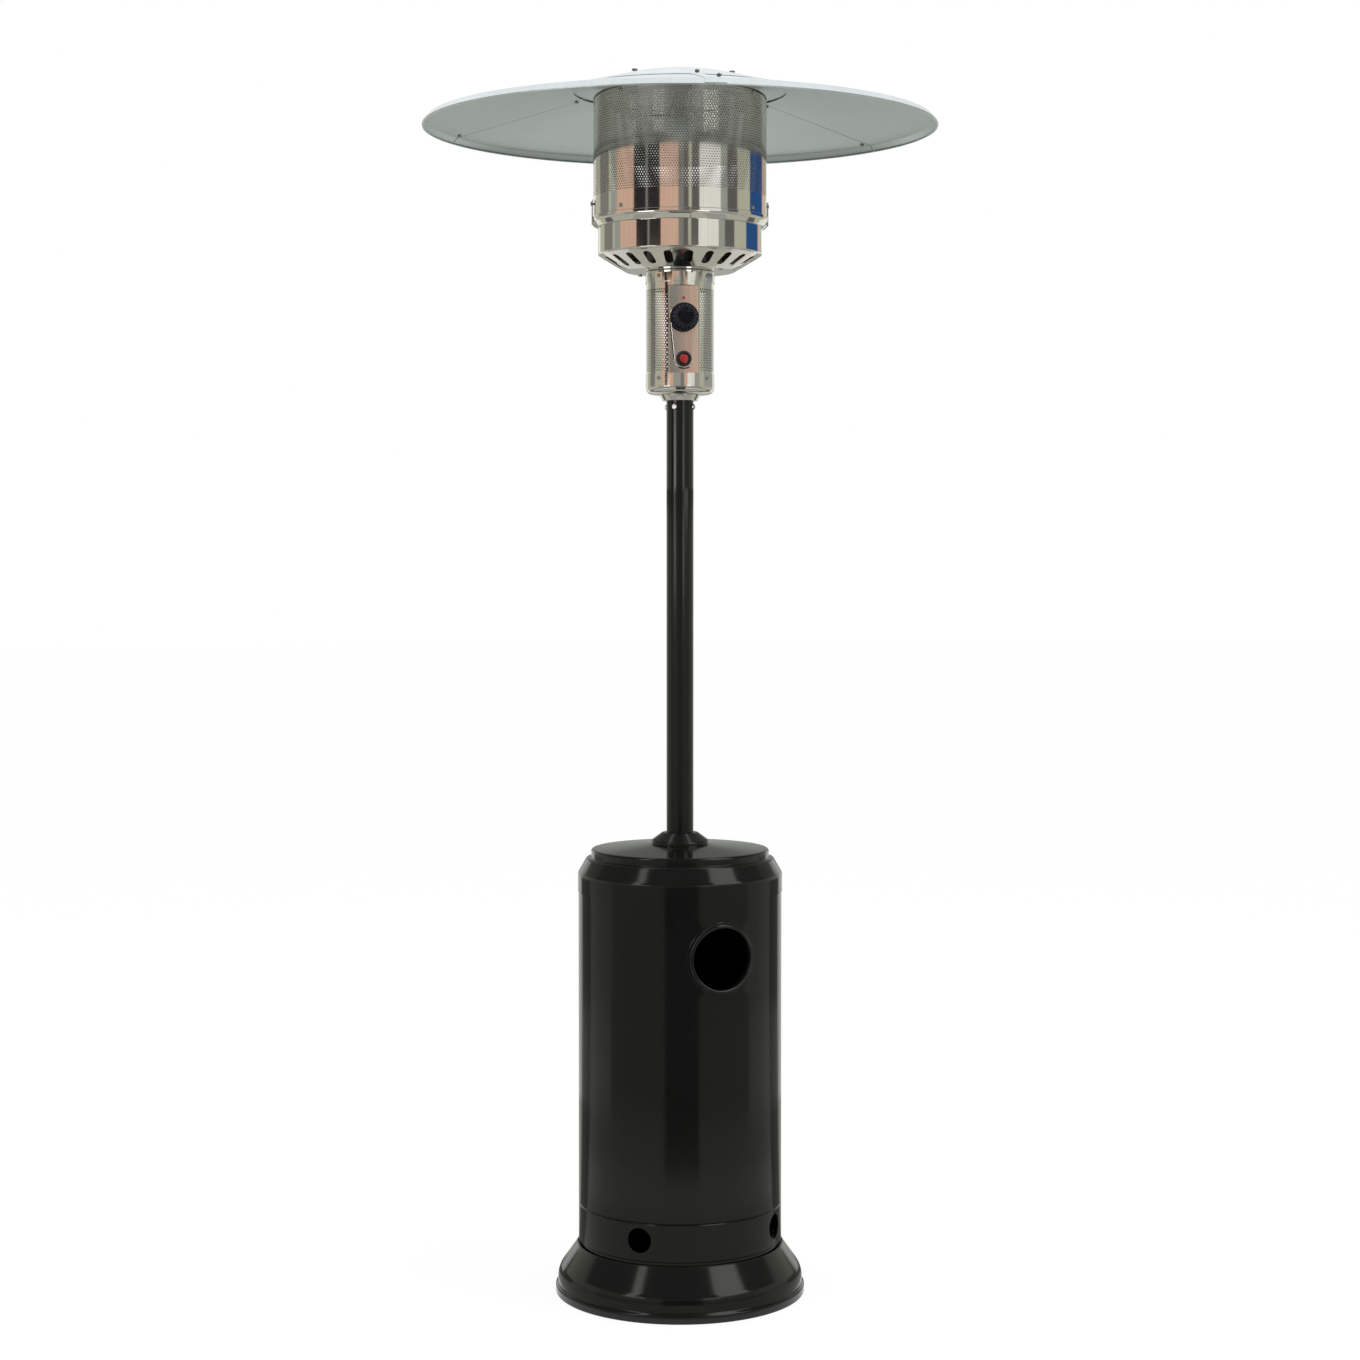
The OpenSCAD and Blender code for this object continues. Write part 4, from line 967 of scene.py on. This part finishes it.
@dataclass(frozen=True)
class Reflector:
    """The three lapped reflector panels and the raised centre disc."""

    eye: float = 190.0
    eye_z: float = 2149.0
    flat_rows: Floats = (300.0, 400.0)
    fold: float = 449.26
    fold_z: float = 2097.0
    fold_run: float = 1.0
    fold_drop: float = 1.1
    rim: Outline = ((458.3, 2087.0), (458.1, 2086.3), (457.4, 2086.0), (455.8, 2086.2))
    sheet: float = 1.0
    notch: float = 2.5
    arc: float = 120.0
    arc_steps: int = 60
    gap: float = 0.28
    lap: float = 2.6
    lap_root: float = 2.0
    lap_steps: int = 4
    lap_up: float = 1.2
    disc_r: float = 214.0
    disc_rise: float = 40.0
    disc_power: float = 1.5
    disc_rings: int = 24
    disc_edge: float = 0.5
    lift: float = 2.4
    panels: tuple[tuple[str, float], ...] = (("right", 0.0), ("rear", 120.0), ("left", 240.0))

    def cone(self, radius: float) -> float:
        """Gives the height of the panels' underside at a radius."""
        slope = (self.eye_z - self.fold_z) / (self.fold - self.eye)
        return self.fold_z + slope * (self.fold - radius)

    def disc(self, radius: float) -> float:
        """Gives the height of the centre disc's underside at a radius."""
        dome = 1.0 - (min(radius, self.eye) / self.eye) ** self.disc_power
        return self.cone(max(radius, self.eye)) + self.lift + self.disc_rise * dome

    def build(self) -> None:
        """Makes the panels, each with its lap over the next, and the disc."""
        flat = (self.eye, *self.flat_rows, self.fold - self.notch)
        fold = (self.fold + self.fold_run, self.fold_z - self.fold_drop)
        sheet = (*((r, self.cone(r)) for r in flat), (self.fold, self.fold_z), fold)
        above = Matrix.Translation((0.0, 0.0, self.lap_up))
        for name, start in self.panels:
            panel = Shape().turn((*sheet, *self.rim), self.arc_steps, start, self.arc - self.gap)
            self.cut_corners(panel, start)
            root = start + self.arc - self.lap_root
            sweep = self.lap_root + self.lap
            lap = Shape().turn((*sheet, self.rim[0]), self.lap_steps, root, sweep)
            panel.wall(self.sheet).add(lap.wall(self.sheet).copies(above))
            panel.piece(f"panel_{name}_pressing", f"reflector_panel_{name}")
        rings = (self.disc_r * i / self.disc_rings for i in range(self.disc_rings + 1))
        edge = (self.disc_r + self.disc_edge, self.disc(self.disc_r) - self.lift / 2)
        disc = Shape().turn((*((r, self.disc(r)) for r in rings), edge)).wall(self.sheet)
        disc.piece("disc_pressing", "reflector_disc")

    def cut_corners(self, panel: Shape, start: float) -> None:
        """Draws the panel's edges in at the fold, which leaves a small notch at each seam.

        Args:
            panel: The panel before it gets its thickness.
            start: Turn of the panel's first edge.
        """
        width = math.degrees(self.notch / self.fold)
        for turn, way in ((start, width), (start + self.arc - self.gap, -width)):
            corner = spot(turn, self.fold, self.fold_z)
            for vert in panel.bm.verts:
                if (vert.co - corner).length < TINY:
                    vert.co = spot(turn + way, self.fold, self.fold_z)


@dataclass(frozen=True)
class Carried:
    """The CAD nodes that stay in view, each with a worked material and eased edges."""

    join: float = 0.01
    ease: float = 0.35
    corner: float = 40.0

    def build(self) -> None:
        """Gives every node that no piece stands for its finish."""
        for name, obj in frame["nodes"].items():
            if obj.hide_render:
                continue
            slot = SLOT_OF[name]
            obj.data.materials.clear()
            obj.data.materials.append(FINISHES[slot].material())
            join = obj.modifiers.new("join", "WELD")
            join.merge_threshold = self.join * MM
            ease = obj.modifiers.new("ease", "BEVEL")
            ease.width = self.ease * MM
            ease.segments = 2
            ease.limit_method = "ANGLE"
            ease.angle_limit = math.radians(self.corner)
            LOG.info("%s: carried over in %s", name, slot)


@dataclass(frozen=True)
class Card:
    """A curved studio card that only reflections see.

    Attributes:
        start: Azimuth of its first edge, in degrees from the camera's side.
        end: Azimuth of its last edge.
        upper: Radius and height of its upper or outer edge, in metres.
        lower: Radius and height of its lower or inner edge.
        tone: What it shows.
    """

    start: float
    end: float
    upper: Edge
    lower: Edge
    tone: Tone


@dataclass(frozen=True)
class Studio:
    """Camera, lamps, floor, backdrop and the cards that the shiny metal reflects."""

    azimuth: float = -7.0
    distance: float = 4.697
    eye_height: float = 1.345
    tilt: float = 1.493
    shift: float = -0.05
    lens: float = 69.3
    sensor: float = 36.0
    far: float = 200.0
    world_light: float = 0.42
    floor_half: float = 30.0
    floor_paper: float = 0.85
    floor_glow: float = 1.24
    floor_share: float = 0.72
    aim_z: float = 0.9
    lamps: tuple[tuple[str, Floats, Edge, float], ...] = (
        ("softbox_right", (1.86, -1.22, 3.15), (0.9, 0.9), 15.0),
        ("strip_left", (-1.75, -1.35, 3.2), (0.22, 1.2), 6.0),
        ("overhead", (0.2, 0.4, 5.2), (3.0, 3.0), 16.0),
    )
    card_step: float = 6.0
    floor_z: float = 0.002
    floor_rings: Floats = (0.25, 0.85, 1.2, 1.7, 5.5)
    floor_edges: Floats = (-143.0, -118.0, -80.0, -16.0, 20.0, 80.0, 118.0, 143.0)
    floor_tones: tuple[tuple[Tone, ...], ...] = (
        (DARK, GREY, GREY, GREY, GREY, GREY, DARK, PAPER),
        (DARK, PAPER, PAPER, PAPER, PAPER, PAPER, DARK, PAPER),
        (DARK, GREY, GREY, NIGHT, GREY, GREY, DARK, PAPER),
        (DIM, PAPER, LINEN, LINEN, LINEN, PAPER, DIM, LINEN),
    )
    uprights: tuple[Card, ...] = (
        Card(-80.0, -16.0, (1.7, 0.3), (1.7, 0.002), DIM),
        Card(-16.0, 20.0, (1.7, 0.68), (1.7, 0.002), NIGHT),
        Card(20.0, 80.0, (1.7, 0.3), (1.7, 0.002), DIM),
    )
    wall_edges: tuple[Edge, ...] = ((3.0, 0.002), (3.0, 0.5), (3.0, 1.75), (3.0, 2.13), (3.0, 3.2))
    around_tones: tuple[Tone, ...] = (DARK, GREY, DIM, NIGHT, DIM, GREY, DARK)
    belt_tones: Tones = (
        (-180, GREY), (-160, WHITE), (-140, PALE), (-118, PAPER), (-80, GREY), (-16, DIM),
        (20, GREY), (80, PAPER), (118, PALE), (140, WHITE), (160, GREY),
    )
    windows: tuple[Card, ...] = (
        Card(-75.0, -55.0, (2.95, 1.75), (2.95, 1.45), NIGHT),
        Card(-55.0, -33.0, (2.95, 1.75), (2.95, 1.45), LAMP),
        Card(-55.0, -33.0, (2.95, 1.45), (2.95, 1.2), WINDOW),
        Card(22.0, 38.0, (2.95, 1.75), (2.95, 1.2), WINDOW),
        Card(-180.0, 180.0, (0.1, 4.6), (3.0, 3.2), SKY),
    )
    ceiling_edges: tuple[Edge, Edge] = ((0.3, 1.45), (2.95, 1.45))
    ceiling_tones: Tones = (
        (-180, DIM), (-110, DARK), (-53, WINDOW), (-43, DARK), (38, WINDOW), (71, DARK), (110, DIM),
    )
    sleeve_tones: Tones = (
        (-180, GREY), (-160, WHITE), (-140, PALE), (-119, DIM), (-93, PALE), (-65, CLAY),
        (-52, NIGHT), (-42, CLAY), (-22, GREY), (2, DIM), (14, CLAY), (26, WHITE), (50, GREY),
        (68, PALE), (88, GREY), (140, WHITE), (160, GREY),
    )
    head_tones: Tones = (
        (-180, GREY), (-165, WHITE), (-148, PALE), (-130, DIM), (-107, PALE), (-102, GREY),
        (-90, CLAY), (-62, NIGHT), (-45, DIM), (-42, NIGHT), (-26, CLAY), (-2, DIM), (5, DARK),
        (11, PALE), (15, DARK), (25, WHITE), (54, GREY), (64, DARK), (80, PALE), (104, BLUE),
        (138, CLAY), (149, PALE), (160, WHITE), (172, GREY),
    )

    def build(self) -> None:
        """Sets up everything that isn't the heater."""
        bpy.context.scene.view_settings.view_transform = "Standard"
        self.make_camera()
        self.make_world()
        self.make_floor()
        self.make_lamps()
        self.make_cards()

    def make_camera(self) -> None:
        """Stands the camera in front of the heater, a little to its left."""
        data = bpy.data.cameras.new("photo_camera")
        data.lens, data.sensor_width, data.shift_y = self.lens, self.sensor, self.shift
        data.clip_end = self.far
        camera = link("photo_camera", data)
        camera.location = spot(self.azimuth, self.distance, self.eye_height)
        pitch = math.radians(90.0 - self.tilt)
        camera.rotation_euler = (pitch, 0.0, math.radians(self.azimuth))
        bpy.context.scene.camera = camera

    def shown_rays(self, graph: Graph) -> Socket:
        """Gives 1 for the rays that see the white surround: camera, glossy and transmission."""
        rays = graph.node("LightPath").outputs
        first = graph.sum("MAXIMUM", rays["Is Camera Ray"], rays["Is Glossy Ray"])
        return graph.sum("MAXIMUM", first, rays["Is Transmission Ray"])

    def make_world(self) -> None:
        """Makes the world white to look at and a plain level of light."""
        world = bpy.data.worlds.new("studio_world")
        world.use_nodes = True
        graph = Graph(world.node_tree)
        rays = {"Value": self.shown_rays(graph), 3: self.world_light, 4: 1.0}
        level = graph.node("MapRange", rays).outputs[0]
        back = graph.node("Background", {"Color": (1.0, 1.0, 1.0, 1.0), "Strength": level})
        graph.node("OutputWorld", {"Surface": back.outputs[0]})
        bpy.context.scene.world = world

    def make_floor(self) -> None:
        """Lays a white floor that still takes the heater's shadow."""
        floor = Shape()
        bmesh.ops.create_grid(floor.bm, x_segments=1, y_segments=1, size=self.floor_half)
        made, graph = new_material("studio_floor_paper")
        self.stage_object("studio_floor", floor, made)
        paper = graph.node("BsdfDiffuse", {"Color": (*[self.floor_paper] * 3, 1.0)})
        white = {"Color": (1.0, 1.0, 1.0, 1.0), "Strength": self.floor_glow}
        share = graph.sum("MULTIPLY", self.shown_rays(graph), self.floor_share)
        graph.show(paper, graph.node("Emission", white), share=share)

    def stage_object(self, name: str, shape: Shape, made: bpy.types.Material) -> bpy.types.Object:
        """Makes a stage object from a shape that is already in metres.

        Args:
            name: Name of the object.
            shape: Its shape.
            made: Its material.

        Returns:
            The new object.
        """
        mesh = bpy.data.meshes.new(name)
        shape.bm.to_mesh(mesh)
        shape.bm.free()
        mesh.materials.append(made)
        obj = link(name, mesh)
        return obj

    def make_lamps(self) -> None:
        """Hangs the soft lamps, which light the heater but show in no reflection."""
        aim = Vector((0.0, 0.0, self.aim_z))
        for name, place, size, power in self.lamps:
            data = bpy.data.lights.new(name, "AREA")
            data.shape = "RECTANGLE"
            data.size, data.size_y = size
            data.energy = power
            lamp = link(name, data)
            lamp.location = place
            lamp.rotation_euler = (aim - Vector(place)).to_track_quat("-Z", "Y").to_euler()
            lamp.visible_glossy = False

    def row(
        self, tones: Iterable[tuple[float, Tone]], upper: Edge, lower: Edge, end: float = 180.0,
    ) -> list[Card]:
        """Lists a row of cards side by side.

        Args:
            tones: Azimuth of each card's first edge, and its tone.
            upper: Radius and height of the row's upper or outer edge, in metres.
            lower: Radius and height of its lower or inner edge.
            end: Azimuth of the last card's last edge.

        Returns:
            The cards.
        """
        starts, shown = zip(*tones)
        spans = zip(starts, (*starts[1:], end), shown)
        return [Card(start, stop, upper, lower, tone) for start, stop, tone in spans]

    def cards(self) -> list[Card]:
        """Lists a toned floor, dim cards round the black body and strips round the head.

        Returns:
            The cards, in the order of their numbers.
        """
        edges, rings, z = self.floor_edges, self.floor_rings, self.floor_z
        rows = []
        for inner, outer, tones in zip(rings, rings[1:], self.floor_tones):
            rows += self.row(zip(edges, tones), (outer, z), (inner, z), edges[0] + 360.0)
        rows += self.uprights
        ground, low, belt, sleeve, head = self.wall_edges
        rows += self.row(zip(edges, self.around_tones), low, ground, edges[-1])
        rows += self.row(self.belt_tones, belt, low)
        rows += self.windows
        rows += self.row(self.ceiling_tones, *self.ceiling_edges)
        rows += self.row(self.sleeve_tones, sleeve, belt)
        return rows + self.row(self.head_tones, head, sleeve)

    def make_cards(self) -> None:
        """Makes the curved cards, seen by glossy rays alone and clear from behind."""
        for number, card in enumerate(self.cards()):
            arc = card.end - card.start
            steps = max(2, round(arc / self.card_step))
            shape = Shape().turn((card.upper, card.lower), steps, self.azimuth + card.start, arc)
            made, graph = new_material(f"card_{number}")
            obj = self.stage_object(f"card_{number}", shape, made)
            glow = graph.node("Emission", {"Color": (*card.tone.value, 1.0), "Strength": 1.0})
            behind = graph.node("NewGeometry").outputs["Backfacing"]
            graph.show(glow, graph.node("BsdfTransparent"), share=behind)
            obj.visible_camera = obj.visible_diffuse = False
            obj.visible_shadow = obj.visible_transmission = False


def main() -> None:
    """Builds the heater, then the studio round it."""
    logging.basicConfig(level=logging.INFO, format="%(message)s")
    heater = (Base(), TankCover(), Column(), ControlHead(), Burner(), Reflector(), Carried())
    for part in (*heater, Studio()):
        part.build()


if __name__ == "__main__":
    main()
